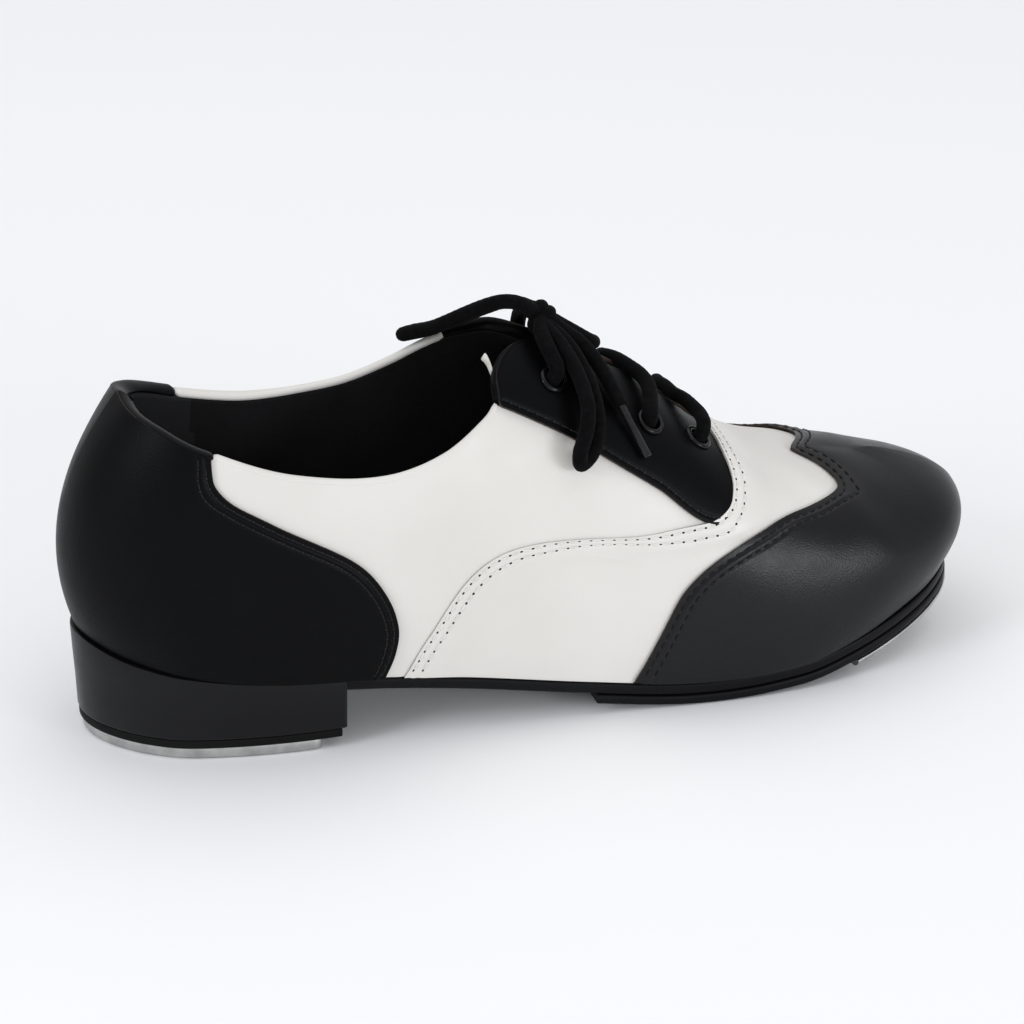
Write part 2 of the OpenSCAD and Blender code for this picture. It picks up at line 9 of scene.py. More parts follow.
import bmesh
import bpy
import numpy as np
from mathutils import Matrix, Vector


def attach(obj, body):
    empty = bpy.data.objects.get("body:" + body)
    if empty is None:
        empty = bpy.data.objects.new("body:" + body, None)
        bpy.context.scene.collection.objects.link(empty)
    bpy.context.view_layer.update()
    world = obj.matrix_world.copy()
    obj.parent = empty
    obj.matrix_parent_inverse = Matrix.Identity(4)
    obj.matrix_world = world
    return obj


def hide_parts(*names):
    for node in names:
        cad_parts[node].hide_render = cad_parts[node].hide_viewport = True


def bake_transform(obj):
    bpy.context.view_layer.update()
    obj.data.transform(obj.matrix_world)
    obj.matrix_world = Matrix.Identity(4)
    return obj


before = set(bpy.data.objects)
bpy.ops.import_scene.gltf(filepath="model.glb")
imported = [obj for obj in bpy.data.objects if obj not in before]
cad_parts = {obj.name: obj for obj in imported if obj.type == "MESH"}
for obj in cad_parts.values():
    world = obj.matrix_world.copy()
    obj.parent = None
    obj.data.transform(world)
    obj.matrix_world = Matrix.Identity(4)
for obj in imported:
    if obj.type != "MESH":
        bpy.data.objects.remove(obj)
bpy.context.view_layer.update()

# ---- camera
TARGET = Vector((-0.003, -0.0015, 0.046))
BACK = Vector((-0.2688, -0.8577, 0.4384))
camera_data = bpy.data.cameras.new("camera")
camera_data.sensor_width = 36
camera_data.lens = 127.8
camera_data.clip_start, camera_data.clip_end = 0.05, 30
camera = bpy.data.objects.new("camera", camera_data)
bpy.context.scene.collection.objects.link(camera)
camera.location = TARGET + BACK * 0.987
camera.rotation_mode = "QUATERNION"
camera.rotation_quaternion = (-BACK).to_track_quat("-Z", "Y")
bpy.context.scene.camera = camera

# ---- the last, as in part.scad, in mm
LEATHER, LINING, PITCH = 1.1, 0.9, 1.5
ORIGIN = np.array([127, 1.5, 0.0])
BACK_X, FRONT_X = 3.0, 250.0
WIDTH_LATERAL = [[0, 0], [0.1, 14.5], [0.15, 21.5], [0.2, 27], [0.3, 32], [0.4, 32.5], [0.5, 34.5],
    [0.6, 38], [0.66, 39], [0.72, 37.5], [0.8, 31], [0.9, 17.5], [1, 0]]
WIDTH_MEDIAL = [[0, 0], [0.1, 13], [0.15, 18], [0.2, 21.5], [0.3, 24], [0.4, 24.5], [0.5, 28.5],
    [0.6, 36.5], [0.66, 39.5], [0.72, 39], [0.8, 33.5], [0.9, 19], [1, 0]]
FEATHER_Z = [[3, 31], [12, 28], [30, 24.5], [50, 22], [70, 20.3], [100, 16], [135, 10], [165, 6.6],
    [195, 7.9], [210, 11], [225, 15], [250, 21.5]]
RIB_END = [[0, 24, 0, 104], [0.1, 26.5, 12, 104], [0.2, 34, 20, 104], [0.3, 50, 22, 104],
    [0.4, 76, 20, 105], [0.48, 98, 13, 106.5], [0.55, 117, 3, 103.5], [0.6, 132, 0, 96],
    [0.66, 153, 0, 84.5], [0.7, 166, 0, 74.8], [0.735, 177.5, 0, 65.4], [0.765, 187, 0, 59.2],
    [0.795, 196, 0, 56], [0.83, 205, 0, 53], [0.87, 213.5, 0, 52.1], [0.92, 221, 0, 51.8],
    [0.97, 226.5, 0, 51.4], [1, 228, 0, 51.3]]
ROUNDNESS = [[0, 0.05], [0.3, 0.1], [0.45, 0.5], [0.55, 0.8], [0.66, 1], [1, 1]]
LEAN = [[0, 3.2], [0.12, 3.1], [0.3, 2], [1, 1.7]]
POWER_ACROSS = [[0, 1.15], [0.6, 1.15], [0.7, 1.2], [0.85, 1.05], [1, 0.95]]
POWER_UP = [[0, 1], [0.6, 1], [0.69, 1.12], [0.74, 0.98], [0.79, 0.82], [0.85, 0.8], [1, 0.72]]
BULGE = [[0, 4.2], [0.15, 4], [0.3, 3.2], [0.5, 3], [0.65, 3.5], [0.8, 5.5], [0.9, 7.5], [1, 8.5]]
WING_LINE = [[0, 0.552, 0], [0.12, 0.571, 0.1], [0.25, 0.59, 0.185], [0.35, 0.604, 0.228],
    [0.5, 0.634, 0.297], [0.6, 0.672, 0.374], [0.68, 0.712, 0.449], [0.76, 0.76, 0.525],
    [0.84, 0.802, 0.595], [0.9, 0.828, 0.685], [0.95, 0.838, 0.83], [1, 0.828, 1]]
VAMP_LINE = [[0, 0.388, 0], [0.12, 0.406, 0.115], [0.25, 0.44, 0.263], [0.35, 0.48, 0.324],
    [0.5, 0.573, 0.331], [0.6, 0.635, 0.384], [0.68, 0.664, 0.441], [0.76, 0.683, 0.508],
    [0.84, 0.699, 0.588], [0.92, 0.714, 0.7], [0.97, 0.73, 0.845], [1, 0.738, 1]]
TOE_RIB = [[0, 0], [0.5, 0.32], [0.76, 0.58], [1, 1]]
FOXING_LINE = [[0, 0.373], [0.08, 0.381], [0.16, 0.384], [0.26, 0.377], [0.36, 0.36], [0.45, 0.33],
    [0.55, 0.287], [0.63, 0.248], [0.7, 0.232], [1, 0.23]]
FOXING_TOP = 0.77
TOP_LATERAL = [[0, 0, 0.89], [0.2, 0.14, 0.845], [0.35, 0.235, 0.77], [0.46, 0.32, 0.668],
    [0.54, 0.373, 0.608], [0.6, 0.41, 0.588], [0.67, 0.45, 0.6], [0.72, 0.485, 0.643],
    [0.76, 0.51, 0.69], [0.79, 0.521, 0.77], [0.82, 0.538, 0.826], [0.85, 0.558, 0.87],
    [0.88, 0.584, 0.915], [0.92, 0.64, 0.93], [1, 0.748, 0.93]]
TOP_MEDIAL = [[0, 0, 0.89], [0.2, 0.14, 0.83], [0.35, 0.235, 0.755], [0.46, 0.32, 0.69],
    [0.54, 0.37, 0.665], [0.6, 0.41, 0.66], [0.67, 0.45, 0.685], [0.72, 0.48, 0.725],
    [0.76, 0.505, 0.765], [0.79, 0.525, 0.795], [0.82, 0.54, 0.83], [0.85, 0.56, 0.88],
    [0.88, 0.59, 0.915], [0.92, 0.64, 0.93], [1, 0.748, 0.93]]
QUARTER_FOOT = [[0, 0, 0], [0.2, 0.13, 0], [0.35, 0.23, 0], [0.5, 0.32, 0], [0.62, 0.385, 0],
    [0.68, 0.412, 0.05], [0.74, 0.44, 0.19], [0.8, 0.485, 0.275], [0.85, 0.565, 0.285],
    [0.9, 0.635, 0.335], [0.94, 0.678, 0.4], [0.97, 0.706, 0.54], [1, 0.748, 0.86]]
EYESTAY_START = 0.762
EYESTAY_FOOT = [[0.76, 0.51, 0.68], [0.82, 0.538, 0.612], [0.88, 0.577, 0.53], [0.93, 0.613, 0.454],
    [0.96, 0.642, 0.39], [0.98, 0.688, 0.46], [1, 0.722, 0.66]]
EYELET_PLACES = [[0.575, 0.738], [0.646, 0.67], [0.694, 0.702]]
TONGUE_ROWS = [[0, 110, 98.5, 11, 14.5], [0.12, 119, 94.5, 14, 15.5], [0.3, 132, 88.5, 14, 16.5],
    [0.5, 148, 80, 12, 17], [0.75, 167, 67.5, 10, 16], [1, 186, 54.5, 8, 13.5]]


def clamp(x):
    return np.clip(x, 0, 1)


def smooth(x):
    c = clamp(x)
    return c * c * (3 - 2 * c)


def mix(a, b, k):
    return a + (b - a) * k


def curve(table, x, c=1):
    """A smooth curve through a table's rows: column c against column 0."""
    k = np.asarray(table, float)
    xs, ys = k[:, 0], k[:, c]
    lower = np.maximum(np.arange(len(xs)) - 1, 0)
    upper = np.minimum(np.arange(len(xs)) + 1, len(xs) - 1)
    slopes = (ys[upper] - ys[lower]) / (xs[upper] - xs[lower])
    x = np.asarray(x, float)
    i = np.clip(np.searchsorted(xs, x, side="right") - 1, 0, len(xs) - 2)
    h = xs[i + 1] - xs[i]
    s = clamp((x - xs[i]) / h)
    return ((2 * s**3 - 3 * s**2 + 1) * ys[i] + (s**3 - 2 * s**2 + s) * h * slopes[i]
        + (3 * s**2 - 2 * s**3) * ys[i + 1] + (s**3 - s**2) * h * slopes[i + 1])


def feather_x(t):
    return BACK_X + (FRONT_X - BACK_X) / 2 * (1 - np.cos(np.pi * np.asarray(t, float)))


def t_at(x):
    return math.acos(1 - 2 * (x - BACK_X) / (FRONT_X - BACK_X)) / math.pi


def width(side, t):
    return np.where(side < 0, curve(WIDTH_LATERAL, t), curve(WIDTH_MEDIAL, t))


def plan_out(side, t):
    """The way out from the feather line in plan, x and |y|."""
    a, b = clamp(t - 0.001), clamp(t + 0.001)
    dx, dy = feather_x(b) - feather_x(a), width(side, b) - width(side, a)
    n = np.hypot(dx, dy) + 1e-9
    return -dy / n, dx / n


def last(side, t, v):
    side, t, v = np.broadcast_arrays(*(np.asarray(q, float) for q in (side, t, v)))
    k, w, x = curve(ROUNDNESS, t), width(side, t), feather_x(t)
    v = clamp(v)
    opening, straight = clamp(np.cos(np.pi / 2 * v)), v ** curve(LEAN, t)
    along = mix(straight, 1 - opening**2.1, k)
    across = mix(straight, 1 - opening ** curve(POWER_ACROSS, t), k)
    up = mix(v, np.sin(np.pi / 2 * v) ** curve(POWER_UP, t), k)
    ox, oy = plan_out(side, t)
    out = curve(BULGE, t) * v * (1 - v) ** 1.8 / (0.357 * 0.643**1.8)
    return np.stack([
        mix(x, curve(RIB_END, t, 1), along) + out * ox,
        side * (mix(w, curve(RIB_END, t, 2), across) + out * oy),
        mix(curve(FEATHER_Z, x), curve(RIB_END, t, 3), up)], -1)


def normal(side, t, v, step=0.002):
    side, t, v = np.broadcast_arrays(*(np.asarray(q, float) for q in (side, t, v)))
    along = last(side, np.minimum(t + step, 1), v) - last(side, np.maximum(t - step, 0), v)
    upward = last(side, t, np.minimum(v + step, 1)) - last(side, t, np.maximum(v - step, 0))
    n = np.cross(along, upward) * -side[..., None]
    flat = (t <= 0) | (t >= 1) | (v >= 1)
    n[..., 1] = np.where(flat, 0, n[..., 1])
    return n / (np.linalg.norm(n, axis=-1, keepdims=True) + 1e-12)


def metres(points):
    """Row-frame millimetres to metres."""
    return np.asarray(points, float) * 0.001


def layer(place, d):
    """Points d mm outside the last, in row-frame metres; place is (side, t, v)."""
    d = np.asarray(d, float)[..., None]
    return metres(last(*place) + d * normal(*place) - ORIGIN)


def back_level(t):
    return -1.3 * (1 - smooth((t - 0.12) / 0.18))


def lining_level(t):
    return (back_level(t) - PITCH - 1.4 * (1 - smooth((t - 0.3) / 0.08))
        - 1.4 * smooth((t - 0.8) / 0.05))


def half(b):
    return np.where(np.asarray(b) < 0.5, -1.0, 1.0)


def climb(b):
    return 1 - np.abs(2 * np.asarray(b) - 1)


def cap_place(r, b):
    s = climb(b)
    return (half(b), mix(curve(WING_LINE, s), 1, r),
        mix(curve(WING_LINE, s, 2), curve(TOE_RIB, s), r))


def vamp_place(r, b):
    s = climb(b)
    front = cap_place(0.07, b)
    return (half(b), mix(curve(VAMP_LINE, s), front[1], r), mix(curve(VAMP_LINE, s, 2), front[2], r))


def vamp_lining_place(r, b):
    rear = vamp_place(0.14, b)
    return half(b), mix(rear[1], 1, r), mix(rear[2], curve(TOE_RIB, climb(b)), r)


def top_edge(side):
    return TOP_LATERAL if side < 0 else TOP_MEDIAL


def side_place(side, foot, s, b):
    top = top_edge(side)
    return (side, mix(np.maximum(curve(foot, s), 0), curve(top, s), b),
        mix(np.maximum(curve(foot, s, 2), 0), curve(top, s, 2), b))


def quarter_place(side, a, b):
    return side_place(side, QUARTER_FOOT, a, b)


def eyestay_place(side, a, b):
    return side_place(side, EYESTAY_FOOT, mix(EYESTAY_START, 1, a), b)


def around(a):
    return np.abs(2 * np.asarray(a) - 1)


def topline(side):
    return [[r[1], r[2]] for r in top_edge(side) if r[1] < 0.3]


def foxing_place(a, b):
    k, side = around(a), half(a)
    top = np.where(side < 0, curve(topline(-1), k * 0.235), curve(topline(1), k * 0.235))
    return side, k * curve(FOXING_LINE, FOXING_TOP * b), b * top


def lining_place(a, b):
    k, side = around(a), half(a)
    lateral, medial = quarter_place(-1, k, b), quarter_place(1, k, b)
    return side, np.where(side < 0, lateral[1], medial[1]), np.where(side < 0, lateral[2], medial[2])


# ---- materials
def finish_of(name, dark, light, rough, grain, height, kind="noise", metallic=0.0, sheen=0.0,
        coat=0.0, specular=0.5, patch=18):
    """A procedural finish: two close colours, a roughness range, and a bump of the given grain.

    dark and light are linear colours, rough is (low, high), grain and height are in metres, and
    patch is how many colour patches there are in a metre.
    """
    m = bpy.data.materials.new(name)
    m.use_nodes = True
    nodes, links = m.node_tree.nodes, m.node_tree.links

    def fill(node, **inputs):
        for key, value in inputs.items():
            socket = node.inputs[key.replace("_", " ")]
            if isinstance(value, bpy.types.NodeSocket):
                links.new(value, socket)
            else:
                socket.default_value = value
        return node

    def add(sort, **inputs):
        return fill(nodes.new("ShaderNode" + sort), **inputs)

    place = add("TexCoord").outputs["Object"]
    cloud = add("TexNoise", Scale=patch, Detail=5, Vector=place)
    share = add("MapRange", From_Min=0.325, From_Max=0.675, Value=cloud.outputs["Fac"])
    colour = add("Mix")
    colour.data_type = "RGBA"
    colour.inputs[6].default_value = (*dark, 1)
    colour.inputs[7].default_value = (*light, 1)
    links.new(share.outputs["Result"], colour.inputs[0])
    gloss = add("TexNoise", Scale=patch * 9, Detail=4, Vector=place)
    roughness = add("MapRange", From_Min=0.3, From_Max=0.7, To_Min=rough[0], To_Max=rough[1],
        Value=gloss.outputs["Fac"])
    if kind == "noise":
        fine = add("TexNoise", Scale=1 / grain, Detail=8, Roughness=0.65, Vector=place)
        relief = fine.outputs["Fac"]
    else:
        both = add("Math")
        if kind == "leather":
            both.operation = "ADD"
            parts = [add("TexVoronoi", Scale=1 / grain, Vector=place).outputs["Distance"],
                add("TexNoise", Scale=0.4 / grain, Detail=6, Vector=place).outputs["Fac"]]
        else:
            both.operation = "MULTIPLY"
            parts = []
            for axis in ("X", "Z"):
                wave = add("TexWave", Scale=0.31 / grain, Distortion=0.6, Vector=place)
                wave.bands_direction = axis
                parts.append(wave.outputs["Fac"])
        for socket, part in zip(both.inputs, parts):
            links.new(part, socket)
        relief = both.outputs[0]
    bump = add("Bump", Strength=1, Distance=height, Height=relief)
    fill(nodes["Principled BSDF"], Metallic=metallic, Specular_IOR_Level=specular,
        Sheen_Weight=sheen, Sheen_Roughness=0.5, Coat_Weight=coat, Coat_Roughness=0.18,
        Base_Color=colour.outputs[2], Roughness=roughness.outputs["Result"],
        Normal=bump.outputs["Normal"])
    return m


BLACK = finish_of("black_leather", (0.0016, 0.0017, 0.0020), (0.0026, 0.0028, 0.0034), (0.34, 0.42),
    0.00045, 0.00003, "leather", specular=0.07)
CAP_BLACK = finish_of("black_cap_leather", (0.0022, 0.0023, 0.0028), (0.0036, 0.0038, 0.0046),
    (0.30, 0.38), 0.00045, 0.00003, "leather", specular=0.27)
WHITE = finish_of("white_leather", (0.675, 0.652, 0.612), (0.73, 0.71, 0.674), (0.38, 0.5),
    0.0005, 0.000014, "leather")
CUT_BLACK = finish_of("cut_edge_brown", (0.02, 0.012, 0.008), (0.06, 0.035, 0.02), (0.7, 0.9),
    0.0002, 0.00006, patch=300)
CUT_WHITE = finish_of("cut_edge_white", (0.55, 0.52, 0.47), (0.72, 0.7, 0.66), (0.75, 0.95),
    0.0002, 0.00008, patch=300)
FLESH = finish_of("leather_back", (0.03, 0.03, 0.032), (0.06, 0.058, 0.056), (0.85, 0.95),
    0.0003, 0.00005, patch=150)
FELT = finish_of("tongue_felt", (0.36, 0.36, 0.37), (0.52, 0.52, 0.53), (0.9, 1.0),
    0.0003, 0.00012, patch=500, sheen=0.3)
FABRIC = finish_of("lining_fabric", (0.004, 0.004, 0.0045), (0.007, 0.007, 0.0078), (0.85, 0.95),
    0.0005, 0.00008, kind="weave", patch=60, specular=0.25)
HEEL_FABRIC = finish_of("heel_lining", (0.008, 0.008, 0.009), (0.013, 0.013, 0.014), (0.8, 0.9),
    0.0004, 0.00006, kind="weave", patch=60, specular=0.3)
SOLE_EDGE = finish_of("sole_edge", (0.0025, 0.0025, 0.003), (0.004, 0.004, 0.005), (0.36, 0.48),
    0.0006, 0.000025, specular=0.12)
SOLE_FACE = finish_of("sole_face", (0.016, 0.015, 0.015), (0.034, 0.032, 0.031), (0.7, 0.9),
    0.0007, 0.00006, patch=90)
HEEL = finish_of("heel_black", (0.003, 0.003, 0.0036), (0.005, 0.005, 0.006), (0.32, 0.42),
    0.0008, 0.000018, specular=0.2)
RUBBER = finish_of("lift_rubber", (0.003, 0.003, 0.003), (0.006, 0.006, 0.006), (0.55, 0.7),
    0.0004, 0.00003, specular=0.12)
TAP = finish_of("tap_metal", (0.40, 0.40, 0.395), (0.56, 0.555, 0.545), (0.34, 0.52),
    0.0004, 0.00003, metallic=1.0, patch=220)
BRIGHT = finish_of("tap_rim", (0.72, 0.72, 0.71), (0.82, 0.82, 0.81), (0.14, 0.24),
    0.0004, 0.00001, metallic=1.0, patch=220)
STEEL = finish_of("screw_steel", (0.36, 0.36, 0.37), (0.5, 0.5, 0.5), (0.25, 0.4),
    0.0004, 0.00001, metallic=1.0, patch=200)
BOARD = finish_of("insole_board", (0.28, 0.2, 0.12), (0.36, 0.27, 0.17), (0.8, 0.95),
    0.0005, 0.00006, patch=120)
COTTON = finish_of("lace_cotton", (0.0022, 0.0022, 0.0025), (0.0045, 0.0045, 0.005), (0.88, 0.98),
    0.00022, 0.00009, patch=500, sheen=0.02, specular=0.04)
FILM = finish_of("aglet_film", (0.004, 0.004, 0.005), (0.012, 0.012, 0.014), (0.12, 0.22),
    0.0006, 0.00006, patch=300, coat=0.35, specular=0.2)
EYELET = finish_of("eyelet_metal", (0.003, 0.003, 0.0034), (0.006, 0.006, 0.007), (0.16, 0.26),
    0.0006, 0.000008, coat=0.15, specular=0.16)
THREAD_BLACK = finish_of("thread_black", (0.004, 0.004, 0.0046), (0.008, 0.008, 0.009), (0.5, 0.65),
    0.00012, 0.00004, patch=400, specular=0.2)
THREAD_WHITE = finish_of("thread_white", (0.66, 0.64, 0.6), (0.76, 0.75, 0.71), (0.6, 0.75),
    0.00012, 0.00004, patch=400)
# Needle holes: a dark brown that paints the shade inside each hole onto a flat lens
NEEDLE_HOLE_SHADE = finish_of("needle_hole_painted_shade", (0.012, 0.01, 0.008), (0.03, 0.025, 0.02), (0.9, 1.0),
    0.0002, 0.00002, patch=400)

# ---- mesh helpers
REAR, FORE, TONGUE_BODY = "rearpart", "forepart", "tongue_body"


def unit(v):
    return v / (np.linalg.norm(v, axis=-1, keepdims=True) + 1e-12)


def run_along(points):
    """The running length along axis 0, from the first row of points."""
    steps = np.linalg.norm(np.diff(points, axis=0), axis=-1)
    return np.concatenate([0 * steps[:1], np.cumsum(steps, 0)])


def grid_of(a, b):
    return np.meshgrid(a, b, indexing="ij")


def tube_faces(count, sides):
    """The faces of a tube of count rings, with its two ends closed."""
    faces = [[i * sides + j, (i + 1) * sides + j, (i + 1) * sides + (j + 1) % sides,
        i * sides + (j + 1) % sides] for i in range(count - 1) for j in range(sides)]
    return faces + [list(reversed(range(sides))), [(count - 1) * sides + j for j in range(sides)]]


def make(name, vertices, faces, materials, indices=None):
    """A new object from points in metres. indices gives each face's material."""
    mesh = bpy.data.meshes.new(name)
    mesh.from_pydata([tuple(p) for p in vertices], [], faces)
    for m in materials:
        mesh.materials.append(m)
    if indices is not None:
        mesh.polygons.foreach_set("material_index", indices)
    mesh.validate()
    mesh.polygons.foreach_set("use_smooth", [True] * len(mesh.polygons))
    obj = bpy.data.objects.new(name, mesh)
    bpy.context.scene.collection.objects.link(obj)
    return obj


def outward(obj):
    """Makes a closed mesh's faces point outwards."""
    work = bmesh.new()
    work.from_mesh(obj.data)
    bmesh.ops.recalc_face_normals(work, faces=work.faces)
    work.to_mesh(obj.data)
    work.free()
    return obj


def shell(name, outer, inner, materials, zipped=False, bevel=0.25):
    """A closed shell between two grids of points. materials are for the face, edge and back."""
    n, m = outer.shape[0] - 1, outer.shape[1] - 1
    count = (n + 1) * (m + 1)

    def at(i, j):
        return i * (m + 1) + (min(j, m - j) if zipped and i == n else j)

    faces, indices = [], []

    def add(face, material):
        face = list(dict.fromkeys(face))
        if len(face) > 2:
            faces.append(face)
            indices.append(material)

    for i in range(n):
        for j in range(m):
            quad = [at(i, j), at(i, j + 1), at(i + 1, j + 1), at(i + 1, j)]
            add(quad, 0)
            add([q + count for q in reversed(quad)], 2)
    for j in range(m):
        add([at(0, j + 1), at(0, j), at(0, j) + count, at(0, j + 1) + count], 1)
        if not zipped:
            add([at(n, j), at(n, j + 1), at(n, j + 1) + count, at(n, j) + count], 1)
    for i in range(n):
        add([at(i, 0), at(i + 1, 0), at(i + 1, 0) + count, at(i, 0) + count], 1)
        add([at(i + 1, m), at(i, m), at(i, m) + count, at(i + 1, m) + count], 1)
    points = np.concatenate([outer.reshape(-1, 3), inner.reshape(-1, 3)])
    obj = make(name, points, faces, materials, indices)
    work = bmesh.new()
    work.from_mesh(obj.data)
    loose = [v for v in work.verts if not v.link_faces]
    bmesh.ops.delete(work, geom=loose, context="VERTS")
    bmesh.ops.recalc_face_normals(work, faces=work.faces)
    rim = [e for e in work.edges if len(e.link_faces) == 2
        and {f.material_index for f in e.link_faces} == {0, 1}]
    if bevel:
        bmesh.ops.bevel(work, geom=rim, offset=bevel * 0.001, segments=3, profile=0.5,
            affect="EDGES", clamp_overlap=True, material=-1)
    for f in work.faces:
        f.smooth = True
    work.to_mesh(obj.data)
    work.free()
    return obj


def squareness(points, row):
    """How squarely the columns of points leave the edge at row 0: the angle's sine, evened out."""
    way, edge = unit(points[row] - points[0]), unit(np.gradient(points[0], axis=0))
    sine = np.linalg.norm(np.cross(way, edge), axis=-1)
    return np.maximum(np.convolve(np.pad(sine, 4, mode="edge"), np.ones(9) / 9, "valid"), 0.35)


def reach(place, across, distances, along="a", start=0.0, sign=1.0, span=0.6):
    """How far the parameter has to go in from an edge, for each distance in mm and each across."""
    k = np.linspace(0, span, 700)[:, None]
    moving, fixed = start + sign * k + 0 * across, across[None, :] + 0 * k
    where = place(moving, fixed) if along == "a" else place(fixed, moving)
    points = last(*where)
    run, lean = run_along(points), squareness(points, 12)
    return np.array([[np.interp(d, run[:, j] * lean[j], k[:, 0]) for j in range(len(across))]
        for d in distances])


def inset_grid(place, a, b):
    """The distance in mm from the edge at a = 0, for each point of a grid of parameters."""
    points = last(*place(a, b))
    return run_along(points) * squareness(points, 3)


def ripple(points, size, height):
    """A gentle unevenness, in mm, from a few crossing waves of about that size in mm."""
    p = points / size
    x, y, z = p[..., 0], p[..., 1], p[..., 2]
    return height * (np.sin(1.3 * x + 0.7 * z) * np.cos(1.1 * y - 0.5 * x)
        + 0.5 * np.sin(2.7 * z + 1.9 * x + 0.4 * y) * np.cos(2.1 * y + 1.3 * z)) / 1.5


def seam(d, rows, depth=0.16, spread=0.55, puff=0.08):
    """The dent that rows of stitches pull into leather, against the distance in from its edge."""
    dent = sum(np.exp(-(((d - r) / spread) ** 2)) for r in rows) * -depth
    if len(rows) == 2:
        dent = dent + puff * np.exp(-(((d - sum(rows) / 2) / (0.32 * (rows[1] - rows[0]))) ** 2))
    return dent


def rows_from(values, count):
    """Rows of a parameter: the near-edge rows in values, then count more up to 1."""
    k = np.linspace(0, 1, count + 1)[1:, None]
    return np.concatenate([values, values[-1:] + (1 - values[-1:]) * k])


# Stitching: each stitch is a short arched thread, with its needle holes at its ends
START_GAP, THREAD_RADIUS, THREAD_LIFT, THREAD_SINK = 0.6, 0.24, 0.16, 0.24


def resample(points, normals, start, pitch):
    run = run_along(points)
    count = int((run[-1] - 2 * start) / pitch)
    begins = start + pitch * np.arange(count)

    def at(s):
        p = np.stack([np.interp(s, run, points[:, c]) for c in range(3)], -1)
        n = np.stack([np.interp(s, run, normals[:, c]) for c in range(3)], -1)
        return p, unit(n)

    return begins, at


def stitches(name, lines, thread, holes, pitch=3.1, gap=0.5, hole=0.3):
    """Rows of stitches along lines of (points, normals), in metres, as one mesh."""
    vertices, faces, indices = [], [], []
    ring, rings = 7, 7
    angles = np.linspace(0, 2 * np.pi, ring, endpoint=False)
    for points, normals in lines:
        begins, at = resample(points, normals, START_GAP * 0.001, pitch * 0.001)
        for number, begin in enumerate(begins):
            u = np.linspace(0, 1, rings)
            p, n = at(begin + (gap / 2 + u * (pitch - gap)) * 0.001)
            way = unit(np.gradient(p, axis=0))
            aside = np.cross(n, way)
            arch = np.sin(np.pi * u) ** 0.6
            tilt = (1 if number % 2 else -1) * 0.05
            centre = p + n * ((arch * (THREAD_LIFT + THREAD_SINK) - THREAD_SINK) * 0.001)[:, None] \
                + aside * ((u - 0.5) * tilt * 0.001)[:, None]
            radius = THREAD_RADIUS * 0.001 * (0.55 + 0.45 * arch)
            base = len(vertices)
            for i in range(rings):
                for angle in angles:
                    vertices.append(centre[i] + radius[i] * (
                        math.cos(angle) * aside[i] * 1.1 + math.sin(angle) * n[i] * 0.85))
            for i in range(rings - 1):
                for j in range(ring):
                    k = (j + 1) % ring
                    faces.append([base + i * ring + j, base + (i + 1) * ring + j,
                        base + (i + 1) * ring + k, base + i * ring + k])
                    indices.append(0)
            faces.append([base + j for j in range(ring)])
            faces.append([base + (rings - 1) * ring + j for j in reversed(range(ring))])
            indices += [0, 0]
            if holes is None:
                continue
            # the needle hole: a small flat lens where the stitch goes in, coloured dark as painted shade
            # of the hole
            q, m = at(np.array([begin]))
            q, m = q[0], m[0]
            side = np.cross(m, way[0])
            base = len(vertices)
            vertices.append(q + m * 0.00007)
            for angle in angles:
                vertices.append(q + hole * 0.001 * (math.cos(angle) * side
                    + math.sin(angle) * way[0]) + m * 0.00002)
            vertices.append(q - m * 0.0002)
            for j in range(ring):
                k = (j + 1) % ring
                faces.append([base, base + 1 + j, base + 1 + k])
                faces.append([base + 1 + ring, base + 1 + k, base + 1 + j])
                indices += [1, 1]
    obj = make(name, vertices, faces, [thread] + ([holes] if holes else []), indices)
    return outward(obj)


def line_at(place, level, across, values, along="a"):
    """A line of points and normals on the surface, with one parameter per across value."""
    pair = (values, across) if along == "a" else (across, values)
    where = place(*pair)
    return layer(where, level(*pair)), normal(*where)


def stand_for(nodes):
    if nodes:
        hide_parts(*nodes)


def bend(obj, *nodes, slot):
    stand_for(nodes)
    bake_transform(obj)
    return obj


def hold(obj, body, *nodes, slot):
    stand_for(nodes)
    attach(obj, body)
    return obj


# ---- laces, first of all the pieces
LACE = 0.0042
BAR_FRONT = [[42, -17.5, 66], [44.5, -19, 70], [45.5, -18.5, 73], [46, -14.5, 74], [45.5, -10, 74.5],
    [44.5, -5.5, 75], [43, -1, 75], [42.5, 4, 75], [42.5, 9, 74], [43.5, 13.5, 72.5],
    [44.5, 16, 71], [44, 16.5, 69], [42, 14.5, 65.5]]
BAR_MIDDLE = [[27.5, -19, 73.5], [29, -21.5, 77.5], [29, -22, 80.5], [30.5, -17.5, 82.5],
    [31.5, -12.5, 84], [31, -7.5, 85], [29.5, -2.5, 85.5], [28, 3, 85.5], [27, 8, 84.5],
    [27.5, 13, 82.5], [28.5, 17.5, 80.5], [29, 18.5, 77.5], [27.5, 16.5, 73.5]]
RISE_LATERAL = [[0, -11.5, 84.5], [1.5, -14.5, 87.5], [3, -17.5, 91], [4, -18.5, 94.5],
    [3, -15, 98.5], [2.5, -10, 101.5], [4, -5, 103], [4.5, -2, 103.5]]
RISE_MEDIAL = [[0, 8, 84.5], [1.5, 11, 87.5], [3, 13.5, 91], [4, 15.5, 94.5], [4, 13, 98.5],
    [4, 8, 101.5], [5, 3, 103], [4.5, -2, 103.5]]
